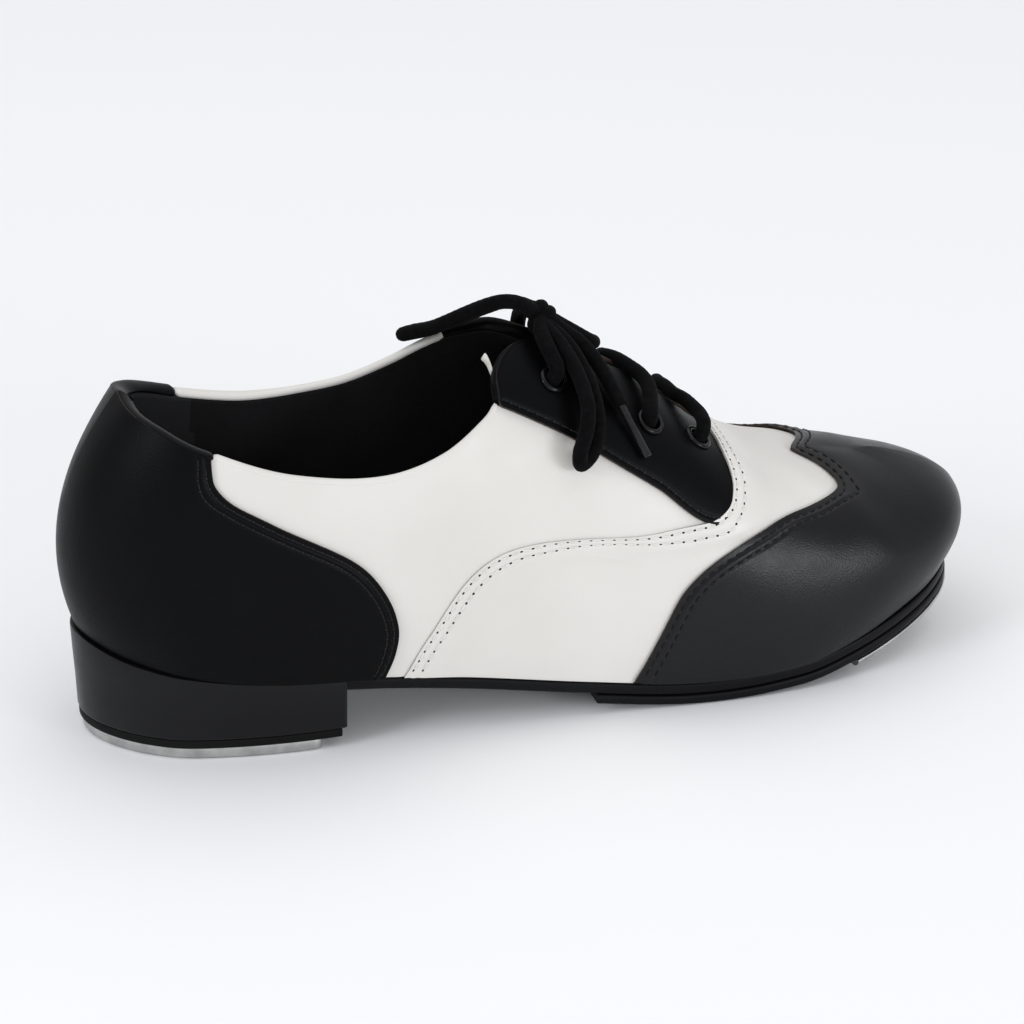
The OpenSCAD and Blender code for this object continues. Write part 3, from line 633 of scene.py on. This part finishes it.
LOOP_REAR = [[4, -3, 104], [-1.9, -4, 108.2], [-6.1, -3.5, 109], [-9.6, -0.5, 107.2], [-13.8, 4, 103.7],
    [-18.2, 8, 100.1], [-21.7, 12, 97], [-25.2, 15.5, 95], [-27.3, 18.6, 93.4], [-24.1, 19.3, 93.6],
    [-20.6, 15.9, 95.4], [-16.9, 12, 98.2], [-12.5, 8.1, 101.6], [-8.3, 3.6, 105.1], [-4.8, 0.6, 107.2],
    [-0.5, 0.1, 106.4], [4, 0.5, 104]]
LOOP_FRONT = [[4, -4, 103], [7, -7.5, 100.5], [10, -11.5, 97], [12, -16.5, 92.5], [13, -21.5, 88],
    [13, -25.5, 83.5], [12, -29, 79], [9.5, -31.5, 75], [6, -33.5, 73.5], [5.5, -34, 77],
    [8, -31.5, 82], [9.5, -28, 87], [9.5, -22.5, 91.5], [8.5, -17.5, 95.5], [6.5, -12, 99.5],
    [4, -7, 102.5]]
END_LATERAL = [[5, -3, 104], [9, -6, 100.5], [13.5, -8, 97], [17, -12, 92.5], [19, -18, 88],
    [20.5, -23, 83.5]]
END_MEDIAL = [[5, 0, 103.5], [10, 1, 99.5], [15.5, 1.5, 95.5], [20, 3, 92], [22.5, 7, 89.5],
    [22.5, 12, 87], [22.5, 17, 83.5]]
AGLET_TIPS = {"lateral": [25.5, -31.5, 71.5], "medial": [26.5, 27.5, 72]}
KNOT = [4.5, -2, 103.5]


def through(points, spacing=0.3):
    """A smooth line through the points, with a point about every spacing mm, in metres."""
    p = np.asarray(points, float)
    knots = np.concatenate([[0], np.cumsum(np.sqrt(np.linalg.norm(np.diff(p, axis=0), axis=1)))])
    fine = np.linspace(0, knots[-1], 2000)
    dense = np.stack([curve(np.stack([knots, p[:, c]], 1), fine) for c in range(3)], 1)
    run = run_along(dense)
    marks = np.linspace(0, run[-1], max(8, int(run[-1] / spacing)))
    return metres(np.stack([np.interp(marks, run, dense[:, c]) for c in range(3)], 1))


def frames(path):
    """Two axes across a line that don't twist."""
    way = unit(np.gradient(path, axis=0))
    across = np.zeros_like(way)
    side = np.cross(way[0], [0.3, 0.2, 1.0])
    for i in range(len(way)):
        side = unit(side - way[i] * (side @ way[i]))
        across[i] = side
    return across, np.cross(way, across)


def braid(name, path, diameter, materials, sides=28, strands=6, turn=1500.0, depth=0.055,
        taper=0.0, flat=1.0):
    """A round braid along a path: two crossing sets of strands stand a little proud."""
    across, up = frames(path)
    run = run_along(path)
    phi = np.linspace(0, 2 * np.pi, sides, endpoint=False)
    one = np.abs(np.sin(strands * phi[None, :] / 2 + turn * run[:, None]))
    two = np.abs(np.sin(strands * phi[None, :] / 2 - turn * run[:, None]))
    pattern = np.maximum(one, two) - 0.8
    radius = diameter / 2 * (1 + depth * pattern)
    if taper:
        ends = np.minimum(run, run[-1] - run)[:, None]
        radius = radius * (1 - 0.25 * (1 - smooth(ends / taper)))
    rings = path[:, None, :] + radius[..., None] * (
        np.cos(phi)[None, :, None] * across[:, None, :]
        + flat * np.sin(phi)[None, :, None] * up[:, None, :])
    return outward(make(name, rings.reshape(-1, 3), tube_faces(len(path), sides), materials))


def wrapped_knot():
    """Two turns of the lace round the crossing of the loops, over a plump core."""
    axis = unit(np.array([15, -8, -10.0]))
    one = unit(np.cross(axis, [0, 0, 1.0]))
    two = np.cross(axis, one)
    turns = np.linspace(-0.7, 0.7, 40)
    band = [np.array(KNOT) - (0, 0, 0.9) + axis * (2.6 * q) + 2.5 * (math.cos(2 * math.pi * q) * two
        + 1.05 * math.sin(2 * math.pi * q) * one) for q in turns]
    path = through(band, 0.3)
    return braid("lace_knot_wrap", path, LACE * 0.98, [COTTON], taper=0.004)


knot = wrapped_knot()
core_path = through([[1.8, -0.9, 104.9], [3, -1.5, 104.3], [4.5, -2, 103.3], [6, -2.9, 102.2],
    [7.3, -3.6, 101.5]], 0.3)
knot_core = braid("lace_knot_core", core_path, LACE * 1.45, [COTTON], taper=0.004)
hold(knot_core, REAR, slot="lace_cotton")
hold(knot, REAR, "lace_knot", slot="lace_cotton")

aglet_pieces = {}
for side, start in (("lateral", END_LATERAL[-1]), ("medial", END_MEDIAL[-1])):
    way = unit(np.array(AGLET_TIPS[side]) - np.array(start))
    line = metres(np.array(start) + np.linspace(-1.2, 15, 60)[:, None] * way)
    piece = braid(f"aglet_{side}", line, 0.0022, [FILM], sides=24, strands=2, turn=40, depth=0.1)
    aglet_pieces[side] = hold(piece, REAR, slot="aglet_film")
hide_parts("aglets")

# name, route, real length, far end, lay, flattening, CAD nodes it replaces, pieces on it
CORDS = [
    ("lace_bar_front", BAR_FRONT, 0.051, "object", "taut", 0.9, ["lace_lower"], []),
    ("lace_bar_middle", BAR_MIDDLE, 0.058, "object", "taut", 0.9, [], []),
    ("lace_rise_lateral", RISE_LATERAL, 0.033, "knot", "taut", 0.94, ["lace_upper"], []),
    ("lace_rise_medial", RISE_MEDIAL, 0.035, "knot", "taut", 0.94, [], []),
    ("lace_loop_rear", LOOP_REAR, 0.090, "knot", "loose", 0.94, ["lace_bow"], [knot, knot_core]),
    ("lace_loop_front", LOOP_FRONT, 0.090, "knot", "hanging", 0.94, [], []),
    ("lace_end_lateral", END_LATERAL, 0.034, "fitting", "hanging", 0.94, ["lace_ends"],
        [aglet_pieces["lateral"]]),
    ("lace_end_medial", END_MEDIAL, 0.036, "fitting", "hanging", 0.94, [],
        [aglet_pieces["medial"]]),
]
for name, route, length, far_end, lay, flat, replaced, on_it in CORDS:
    path = through(route)
    obj = braid(name, path, LACE, [COTTON], flat=flat)
    hold(obj, REAR, *replaced, slot="lace_cotton")

# ---- toe cap
NEAR = np.arange(0, 6.01, 0.25)


def spread(near, rest):
    """The distance in from the edge for each row, with rows beyond the near ones counted as far."""
    return np.concatenate([near, np.full(rest, 50.0)])[:, None]


CAP_ROWS = (1.7, 4.0)
b = np.linspace(0, 1, 301)
a = rows_from(reach(cap_place, b, NEAR), 60)
d = spread(NEAR, 60)


def cap_level(r):
    return PITCH * (1 - smooth((r - 0.12) / 0.5))


grid_b = np.broadcast_to(b, a.shape)
where = cap_place(a, grid_b)
where = (where[0], where[1], np.maximum(where[2], 0.005))
skive = 0.5 * (1 - smooth(d / 3.5))
lift = seam(d, CAP_ROWS) + ripple(last(*where), 14, 0.05) * smooth(d / 8)
outer = layer(where, cap_level(a) - skive + lift)
inner = layer(where, cap_level(a) - LEATHER)
cap = shell("toe_cap_leather", outer, inner, [CAP_BLACK, CUT_BLACK, FLESH], zipped=True, bevel=0.2)
bend(cap, "toe_cap", slot="black_leather")
cap_lines = []
for row in CAP_ROWS:
    values = reach(cap_place, b, [row])[0]
    drop = 0.5 * (1 - smooth(row / 3.5)) + 0.16
    cap_lines.append(line_at(cap_place, lambda r, q: cap_level(r) - drop, b[3:-3], values[3:-3]))
bend(stitches("toe_cap_stitches", cap_lines, THREAD_BLACK, NEEDLE_HOLE_SHADE, pitch=3.0), slot="black_leather")

# ---- vamp
VAMP_ROWS = (1.1, 3.5)
b = np.linspace(0, 1, 321)
near = reach(vamp_place, b, NEAR, span=0.9)
a = rows_from(near, 64)
grid_b = np.broadcast_to(b, a.shape)
where = vamp_place(a, grid_b)
d = inset_grid(vamp_place, a, grid_b)


def vamp_height(d, b):
    """The vamp's outer level: thin where it lies on the quarters, higher over the eyestays."""
    rear = mix(0.62, 1.95, smooth((climb(b) - 0.5) / 0.16))
    return rear * (1 - smooth((d - 3) / 13)) - 0.3 * smooth((climb(b) - 0.5) / 0.16) \
        * (1 - smooth(d / 2.5))


level = vamp_height(d, grid_b) * (1 - smooth((a - 0.42) / 0.3))
lift = seam(d, VAMP_ROWS, depth=0.14, spread=0.6, puff=0.06) \
    + ripple(last(*where), 15, 0.06) * smooth(d / 8)
outer = layer(where, level + lift)
inner = layer(where, level - np.clip(mix(level - 0.1, LEATHER, smooth((d - 9) / 6)), 0.35, LEATHER))
vamp = shell("vamp_leather", outer, inner, [WHITE, CUT_WHITE, FLESH], bevel=0.12)
bend(vamp, "vamp", slot="white_leather")
vamp_lines = []
for row in VAMP_ROWS:
    values = reach(vamp_place, b, [row], span=0.9)[0]
    vamp_lines.append(line_at(vamp_place, lambda r, q: vamp_height(row, q) - 0.14, b[3:-3],
        values[3:-3]))
bend(stitches("vamp_stitches", vamp_lines, THREAD_WHITE, NEEDLE_HOLE_SHADE, pitch=3.2, gap=0.75, hole=0.42),
    slot="white_leather")

# ---- quarters, with eyelet holes
EYELET_HOLE = 2.62


def eyelet_axes(side, t, v, level):
    """An eyelet's centre at a level of the leather, the way out there, and two axes across it."""
    way = normal(side, t, v)
    across = unit(np.cross(way, [1.0, 0, 0]))
    return last(side, t, v) + way * level - ORIGIN, way, across, np.cross(way, across)


def cutter(side, low, high):
    """Rods through the three eyelets of one side, from level low to high."""
    vertices, faces = [], []
    sides = 32
    for t, v in EYELET_PLACES:
        base, way, across, up = eyelet_axes(side, t, v, PITCH)
        start = len(vertices)
        for h in (low, high):
            for k in range(sides):
                angle = 2 * math.pi * k / sides
                vertices.append(metres(base + way * h
                    + EYELET_HOLE * (math.cos(angle) * across + math.sin(angle) * up)))
        faces.append([start + k for k in range(sides)])
        faces.append([start + sides + k for k in reversed(range(sides))])
        for k in range(sides):
            j = (k + 1) % sides
            faces.append([start + k, start + sides + k, start + sides + j, start + j])
    return outward(make("cutter", vertices, faces, [CUT_BLACK]))


def punch(obj, *sides):
    """Cuts the eyelet holes through a shell."""
    for side in sides:
        rods = cutter(side, -9, 3)
        modifier = obj.modifiers.new("holes", "BOOLEAN")
        modifier.operation = "DIFFERENCE"
        modifier.solver = "EXACT"
        modifier.object = rods
        graph = bpy.context.evaluated_depsgraph_get()
        mesh = bpy.data.meshes.new_from_object(obj.evaluated_get(graph))
        obj.modifiers.clear()
        old = obj.data
        obj.data = mesh
        bpy.data.meshes.remove(old)
        bpy.data.objects.remove(rods)
        for polygon in obj.data.polygons:
            polygon.use_smooth = True
    return obj


NAMES = {-1: "lateral", 1: "medial"}
for side in (-1, 1):
    a, b = grid_of(np.linspace(0.005, 1, 181), np.linspace(0, 1, 55))
    where = quarter_place(side, a, b)
    level = back_level(where[1])
    lift = ripple(last(*where), 17, 0.07)
    outer, inner = layer(where, level + lift), layer(where, level - LEATHER)
    quarter = shell(f"quarter_{NAMES[side]}_leather", outer, inner, [WHITE, CUT_WHITE, FLESH],
        bevel=0.3)
    punch(quarter, side)
    hold(quarter, REAR, f"quarter_{NAMES[side]}", slot="white_leather")

# ---- heel foxing
FOXING_ROWS = (1.5, 3.4)
b = np.linspace(0, 1, 75)
first = reach(foxing_place, b, NEAR, along="a", start=0.0, sign=1.0)
second = 1 - reach(foxing_place, b, NEAR, along="a", start=1.0, sign=-1.0)[::-1]
middle = np.linspace(0, 1, 122)[1:-1, None]
a = np.concatenate([first, first[-1] + (second[0] - first[-1]) * middle, second])
d = np.concatenate([NEAR, np.full(120, 50.0), NEAR[::-1]])[:, None]
grid_b = np.broadcast_to(b, a.shape)
where = foxing_place(a, grid_b)
lift = seam(d, FOXING_ROWS) + ripple(last(*where), 16, 0.05) * smooth(d / 8)
level = back_level(where[1]) + PITCH
outer = layer(where, level - 0.45 * (1 - smooth(d / 3.5)) + lift)
inner = layer(where, level - LEATHER)
foxing = shell("heel_foxing_leather", outer, inner, [BLACK, CUT_BLACK, FLESH], bevel=0.2)
hold(foxing, REAR, "heel_foxing", slot="black_leather")


def foxing_level(r, q):
    return back_level(foxing_place(r, q)[1]) + PITCH


foxing_lines = []
for start, sign in ((0.0, 1.0), (1.0, -1.0)):
    for row in FOXING_ROWS:
        values = start + sign * reach(foxing_place, b, [row], start=start, sign=sign)[0]
        drop = 0.45 * (1 - smooth(row / 3.5)) + 0.16
        foxing_lines.append(line_at(foxing_place, lambda r, q: foxing_level(r, q) - drop,
            b[1:], values[1:]))
hold(stitches("heel_foxing_stitches", foxing_lines, THREAD_BLACK, NEEDLE_HOLE_SHADE, pitch=2.9), REAR,
    slot="black_leather")

# ---- eyestays
def stay_level(t):
    """The eyestays' outer level, which sinks where they run under the vamp."""
    return mix(PITCH, 0.85, smooth((t - 0.66) / 0.06))


for side in (-1, 1):
    def stay(a, b, side=side):
        return eyestay_place(side, a, b)

    a = np.linspace(0, 1, 131)
    near = reach(stay, a, NEAR[:17], along="b", span=0.8)
    b = rows_from(near, 42)
    grid_a = np.broadcast_to(a, b.shape)
    where = stay(grid_a, b)
    d = np.concatenate([NEAR[:17], np.full(42, 50.0)])[:, None]
    lift = seam(d, (1.7,)) + ripple(last(*where), 12, 0.04)
    level = stay_level(where[1])
    outer, inner = layer(where, level + lift), layer(where, np.maximum(level - LEATHER, 0.1))
    piece = shell(f"eyestay_{NAMES[side]}_leather", outer, inner, [BLACK, CUT_BLACK, FLESH],
        bevel=0.3)
    punch(piece, side)
    hold(piece, REAR, f"eyestay_{NAMES[side]}", slot="black_leather")
    values = reach(stay, a, [1.7], along="b", span=0.8)[0]
    line = line_at(stay, lambda r, q: stay_level(stay(r, q)[1]) - 0.14, a[2:-2], values[2:-2], along="b")
    hold(stitches(f"eyestay_{NAMES[side]}_stitches", [line], THREAD_BLACK, NEEDLE_HOLE_SHADE, pitch=2.6), REAR,
        slot="black_leather")


# ---- rolled edges
def roll(name, where, level, half_thick, half_high, material, slot):
    """A rolled edge along a line of the last: an oval tube, wide through the leather."""
    centre = last(*where) + level[:, None] * normal(*where) - ORIGIN
    n = normal(*where)
    way = unit(np.gradient(centre, axis=0))
    up = np.cross(way, n)
    up *= np.sign(up[:, 2:3] + 1e-9)
    out = unit(n - way * np.sum(n * way, 1, keepdims=True))
    centre = centre - up * 0.5
    sides = 20
    phi = np.linspace(0, 2 * np.pi, sides, endpoint=False)
    ends = np.minimum(np.arange(len(centre)), np.arange(len(centre))[::-1])
    shape = np.sqrt(clamp((ends + 0.3) / 4))
    rings = centre[:, None, :] + shape[:, None, None] * (
        np.cos(phi)[None, :, None] * out[:, None, :] * half_thick[:, None, None]
        + np.sin(phi)[None, :, None] * up[:, None, :] * half_high)
    faces = tube_faces(len(centre), sides)
    return hold(outward(make(name, metres(rings).reshape(-1, 3), faces, [material])), REAR, slot=slot)


for side in (-1, 1):
    s = np.linspace(0.345, 0.765, 160)
    top = top_edge(side)
    t, v = curve(top, s), curve(top, s, 2)
    inside, outside = lining_level(t) - LINING, back_level(t)
    roll(f"topline_{NAMES[side]}_roll", (np.full(len(s), float(side)), t, v),
        (inside + outside) / 2, (outside - inside) / 2 + 0.08, 1.15, WHITE, "white_leather")
    s = np.linspace(0.758, 0.9, 90)
    t, v = curve(top, s), curve(top, s, 2)
    roll(f"eyestay_{NAMES[side]}_roll", (np.full(len(s), float(side)), t, v),
        np.full(len(s), -0.35), np.full(len(s), 1.95), 1.0, BLACK, "black_leather")
k = np.linspace(-0.235, 0.235, 240)
side = np.where(k < 0, -1.0, 1.0)
t = np.abs(k)
v = np.where(side < 0, curve(topline(-1), t), curve(topline(1), t))
roll("heel_topline_roll", (side, t, v), (lining_level(t) - LINING + back_level(t) + PITCH) / 2,
    (back_level(t) + PITCH - lining_level(t) + LINING) / 2 + 0.06, 1.2, BLACK, "black_leather")

# ---- linings
a, b = grid_of(np.linspace(0, 1, 241), np.linspace(0, 1, 41))
foot = 0.09 + 0.06 * smooth((around(a) - 0.64) / 0.1)
where = lining_place(a, mix(foot, 0.985, b))
level = lining_level(where[1])
lining = shell("quarter_lining_fabric", layer(where, level), layer(where, level - LINING),
    [FABRIC, FABRIC, FABRIC], bevel=0)
for polygon in lining.data.polygons:
    if polygon.center.x < -0.086:
        polygon.material_index = 1
lining.data.materials[1] = HEEL_FABRIC
punch(lining, -1, 1)
hold(lining, REAR, "quarter_lining", slot="lining_fabric")
a, b = grid_of(np.linspace(0, 1, 81), np.linspace(0, 1, 121))
where = vamp_lining_place(a, b)
level = lining_level(where[1])
vamp_lining = shell("vamp_lining_fabric", layer(where, level), layer(where, level - LINING),
    [FABRIC, FABRIC, FABRIC], zipped=True, bevel=0)
bend(vamp_lining, "vamp_lining", slot="lining_fabric")


# ---- eyelets
def eyelet_ring(side, t, v):
    """A domed flange with a rolled barrel through the facing."""
    base, way, across, up = eyelet_axes(side, t, v, stay_level(t))
    profile = [(4.0, 0.06), (4.03, 0.3), (3.9, 0.56), (3.6, 0.8), (3.25, 0.92), (2.9, 0.86),
        (2.62, 0.62), (2.5, 0.2), (2.5, -4.1), (2.75, -4.3), (3.3, -4.3), (3.3, -4.15),
        (2.95, -4.05), (2.95, 0.02)]
    turns = 48
    vertices = [base + way * z + r * (math.cos(2 * math.pi * k / turns) * across
        + math.sin(2 * math.pi * k / turns) * up) for k in range(turns) for r, z in profile]
    m = len(profile)
    faces = [[k * m + j, k * m + (j + 1) % m, ((k + 1) % turns) * m + (j + 1) % m,
        ((k + 1) % turns) * m + j] for k in range(turns) for j in range(m)]
    return vertices, faces


for side in (-1, 1):
    vertices, faces = [], []
    for t, v in EYELET_PLACES:
        more, around_it = eyelet_ring(side, t, v)
        faces += [[q + len(vertices) for q in f] for f in around_it]
        vertices += more
    rings = outward(make(f"eyelets_{NAMES[side]}_metal", metres(vertices), faces, [EYELET]))
    hold(rings, REAR, f"eyelets_{NAMES[side]}", slot="eyelet_metal")

# ---- tongue
a, across = grid_of(np.linspace(0, 1, 101), np.linspace(1, -1, 81))
free = 0.25 * (1 - smooth((-across - 0.3) / 0.7))
a = mix(free, 1, a)
x, z, drop, wide = (curve(TONGUE_ROWS, a, c) for c in (1, 2, 3, 4))
corner = np.exp(-((a / 0.075) ** 2)) * smooth((-across - 0.1) / 0.9)
y = across * wide
z = z - drop * np.abs(y / 20) ** 1.9
points = np.stack([x + 2.6 * corner**2 - 1.0 * corner, y - 1.2 * corner, z + 8.0 * corner], -1)
points[..., 2] += 0.12 * np.sin(points[..., 0] / 3.1) * np.cos(points[..., 1] / 3.7)
points = points - ORIGIN
below = np.stack([0 * a, 0 * a, 0 * a + 1.3], -1)
below[..., 0] = 0.9 * corner
tongue = shell("tongue_leather", metres(points), metres(points - below), [WHITE, CUT_WHITE, FELT],
    bevel=0.25)
hold(tongue, TONGUE_BODY, "tongue", slot="white_leather")

# ---- soles and heel
# Thicknesses, the air under the upper, the heel's close fits, and where pieces end at the front
OUTSOLE, HALF_SOLE, TOP_LIFT, HEEL_TAP, TOE_TAP = 3.2, 2.7, 2.4, 3.3, 2.2
AIR, FIT = 0.3, 0.05
STACK_FRONT, LIFT_FRONT, TAP_FRONT, HALF_SOLE_START, TOE_TAP_START = 68.3, 67, 62, 137, 212


def outsole_top(x):
    return curve(FEATHER_Z, x) - AIR


def outsole_base(x):
    return outsole_top(x) - OUTSOLE


def half_sole_base(x):
    return outsole_base(x) - AIR - HALF_SOLE


def rim(side, t, inset):
    ox, oy = plan_out(side, t)
    return feather_x(t) - inset * ox, side * np.maximum(width(side, t) - inset * oy, 0)


def slab(name, t0, t1, profile, top, base, materials, n=170, rounded=0.0):
    """A lofted sole piece. profile rows are inset in mm, share of the height from the top, and
    material; the loop goes down the lateral edge and back up the medial one. The front corners
    may be rounded."""
    ts = mix(t0, t1, np.sin(np.pi / 2 * np.linspace(0, 1, n + 1)) if rounded
        else np.linspace(0, 1, n + 1))
    short = np.maximum(rounded - (feather_x(t1) - feather_x(ts)), 0)
    draw = rounded - np.sqrt(np.maximum(rounded**2 - short**2, 0))
    loop = []
    for side, rows in ((-1, profile), (1, profile[::-1])):
        for inset, share, _ in rows:
            x, y = rim(side, ts, inset)
            y = y - side * draw
            loop.append(np.stack([x, y, mix(top(x), base(x), share)], -1))
    grid = np.stack(loop, 1) - ORIGIN
    m = grid.shape[1]
    kinds = [row[2] for row in profile]
    kinds = kinds + kinds[::-1]
    faces, indices = [], []
    for i in range(n):
        for j in range(m):
            k = (j + 1) % m
            faces.append([i * m + j, i * m + k, (i + 1) * m + k, (i + 1) * m + j])
            indices.append(kinds[j] if kinds[j] == kinds[k] else 0)
    faces.append(list(range(m)))
    faces.append([n * m + j for j in reversed(range(m))])
    indices += [0, 0]
    obj = make(name, metres(grid).reshape(-1, 3), faces, materials, indices)
    work = bmesh.new()
    work.from_mesh(obj.data)
    bmesh.ops.remove_doubles(work, verts=work.verts, dist=2e-6)
    bmesh.ops.dissolve_degenerate(work, edges=work.edges, dist=1e-6)
    bmesh.ops.recalc_face_normals(work, faces=work.faces)
    for f in work.faces:
        f.smooth = True
    work.to_mesh(obj.data)
    work.free()
    obj.data.set_sharp_from_angle(angle=math.radians(50))
    return obj


def edge_profile(inset, corner, height):
    """A square edge with rounded corners."""
    c = corner / height
    return [(inset + corner * 2.5, 0.0, 2), (inset + corner, 0.0, 0), (inset + corner * 0.3, 0.3 * c, 0),
        (inset, c, 0), (inset, 0.5, 0), (inset, 1 - c, 0),
        (inset + corner * 0.3, 1 - 0.3 * c, 0), (inset + corner, 1.0, 1),
        (inset + corner * 2.5, 1.0, 1)]


outsole = slab("outsole_leather", 0, 1, edge_profile(-0.3, 0.6, OUTSOLE), outsole_top, outsole_base,
    [SOLE_EDGE, SOLE_FACE, SOLE_FACE], n=220)
bend(outsole, "outsole", slot="sole_leather")
half_sole = slab("half_sole_leather", t_at(HALF_SOLE_START), 1,
    edge_profile(-0.5, 0.6, HALF_SOLE), lambda x: outsole_base(x) - AIR, half_sole_base,
    [SOLE_EDGE, SOLE_FACE, SOLE_FACE])
bend(half_sole, "half_sole", slot="sole_rubber")
lift_base = HEEL_TAP + FIT
lift_top = lift_base + TOP_LIFT
# The wrap comes up over the outsole's edge, and tapers towards the floor
wrap_edge = [(0.4, 0, 2), (-0.8, 0, 0), (-1.15, 0.008, 0), (-1.25, 0.03, 0), (-1.0, 0.3, 0),
    (-0.6, 0.65, 0), (-0.4, 0.96, 0), (-0.2, 0.988, 0), (0.2, 1, 0), (1.6, 1, 0)]
stack = slab("heel_stack_wrap", 0, t_at(STACK_FRONT), wrap_edge,
    lambda x: outsole_top(x) - FIT, lambda x: 0 * x + lift_top + FIT, [HEEL] * 3, rounded=0.9)
hold(stack, REAR, "heel_stack", slot="heel_stack")
lift_piece = slab("top_lift_rubber", 0, t_at(LIFT_FRONT), edge_profile(-0.1, 0.3, TOP_LIFT),
    lambda x: 0 * x + lift_top, lambda x: 0 * x + lift_base, [RUBBER] * 3, rounded=0.8)
hold(lift_piece, REAR, "top_lift", slot="sole_rubber")
tap_edge = [(2.5, 0, 2), (1.1, 0, 1), (0.75, 0.02, 1), (0.6, 0.1, 0), (0.62, 0.5, 0),
    (0.7, 0.8, 0), (0.95, 0.95, 0), (1.3, 1, 0), (2.8, 1, 2)]
heel_tap = slab("heel_tap_metal", 0, t_at(TAP_FRONT), tap_edge,
    lambda x: 0 * x + HEEL_TAP, lambda x: 0 * x, [TAP, BRIGHT, TAP], rounded=2.6)
hold(heel_tap, REAR, "heel_tap", slot="tap_metal")
toe_edge = [(1.5, 0, 2), (-0.35, 0, 1), (-0.65, 0.05, 1), (-0.75, 0.18, 0), (-0.6, 0.5, 0),
    (0.2, 0.9, 0), (0.7, 1, 0), (2.4, 1, 2)]
toe_tap = slab("toe_tap_metal", t_at(TOE_TAP_START), 1, toe_edge,
    lambda x: half_sole_base(x) - 0.1, lambda x: half_sole_base(x) - 0.1 - TOE_TAP,
    [TAP, BRIGHT, TAP])
hold(toe_tap, FORE, "toe_tap", slot="tap_metal")
sock = slab("sock_lining_cloth", 0, 1, edge_profile(4.3, 0.3, 1.0),
    lambda x: outsole_top(x) + 5.0, lambda x: outsole_top(x) + 4.0, [HEEL_FABRIC] * 3)
bend(sock, "sock_lining", slot="lining_fabric")


def copy_of(node, name, material, slot):
    """A stand-in for a hidden CAD piece that crosses the ball."""
    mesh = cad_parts[node].data.copy()
    mesh.materials.clear()
    mesh.materials.append(material)
    obj = bpy.data.objects.new(name, mesh)
    bpy.context.scene.collection.objects.link(obj)
    return bend(obj, node, slot=slot)


copy_of("insole_board", "insole_board_fibre", BOARD, "board")
copy_of("bottom_filler", "bottom_filler_cork", BOARD, "filler")
for node, material in (("heel_tap_screws", STEEL), ("heel_nails", STEEL), ("shank", STEEL),
        ("toe_tap_screws", STEEL), ("toe_puff", BOARD), ("heel_counter", BOARD)):
    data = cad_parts[node].data
    data.materials.clear()
    data.materials.append(material)

# ---- floor and light
floor_mesh = bpy.data.meshes.new("floor")
floor_mesh.from_pydata([(-4, -4, 0), (4, -4, 0), (4, 4, 0), (-4, 4, 0)], [], [(0, 1, 2, 3)])
floor = bpy.data.objects.new("floor", floor_mesh)
bpy.context.scene.collection.objects.link(floor)
pale = bpy.data.materials.new("floor")
pale.use_nodes = True
pale.node_tree.nodes["Principled BSDF"].inputs["Base Color"].default_value = (0.92, 0.92, 0.92, 1)
pale.node_tree.nodes["Principled BSDF"].inputs["Roughness"].default_value = 0.9
pale.node_tree.nodes["Principled BSDF"].inputs["Specular IOR Level"].default_value = 0.1
floor_mesh.materials.append(pale)
floor.location.z = -0.0002

world = bpy.data.worlds.new("studio")
bpy.context.scene.world = world
world.use_nodes = True
world.node_tree.nodes["Background"].inputs["Color"].default_value = (0.96, 0.97, 1, 1)
world.node_tree.nodes["Background"].inputs["Strength"].default_value = 0.64


def softbox(name, place, aim, size, power, colour=(1, 1, 1)):
    data = bpy.data.lights.new(name, "AREA")
    data.shape = "RECTANGLE"
    data.size, data.size_y = size
    data.energy = power
    data.color = colour
    lamp = bpy.data.objects.new(name, data)
    bpy.context.scene.collection.objects.link(lamp)
    lamp.location = place
    lamp.rotation_mode = "QUATERNION"
    lamp.rotation_quaternion = (Vector(aim) - Vector(place)).to_track_quat("-Z", "Y")


softbox("top", (0.1, 0.3, 1.8), (0, 0, 0), (2.4, 2.0), 12)
softbox("front", (0.35, -1.9, 0.6), (0.06, 0, 0.04), (1.0, 0.7), 2.4, (1, 0.985, 0.96))
softbox("left", (-1.3, -0.5, 0.8), (-0.05, 0, 0.06), (0.45, 0.6), 6, (0.90, 0.95, 1))
softbox("right", (0.85, -1.25, 0.35), (0.08, 0, 0.03), (0.5, 0.4), 6, (0.92, 0.96, 1))
bpy.context.scene.view_settings.view_transform = "Standard"
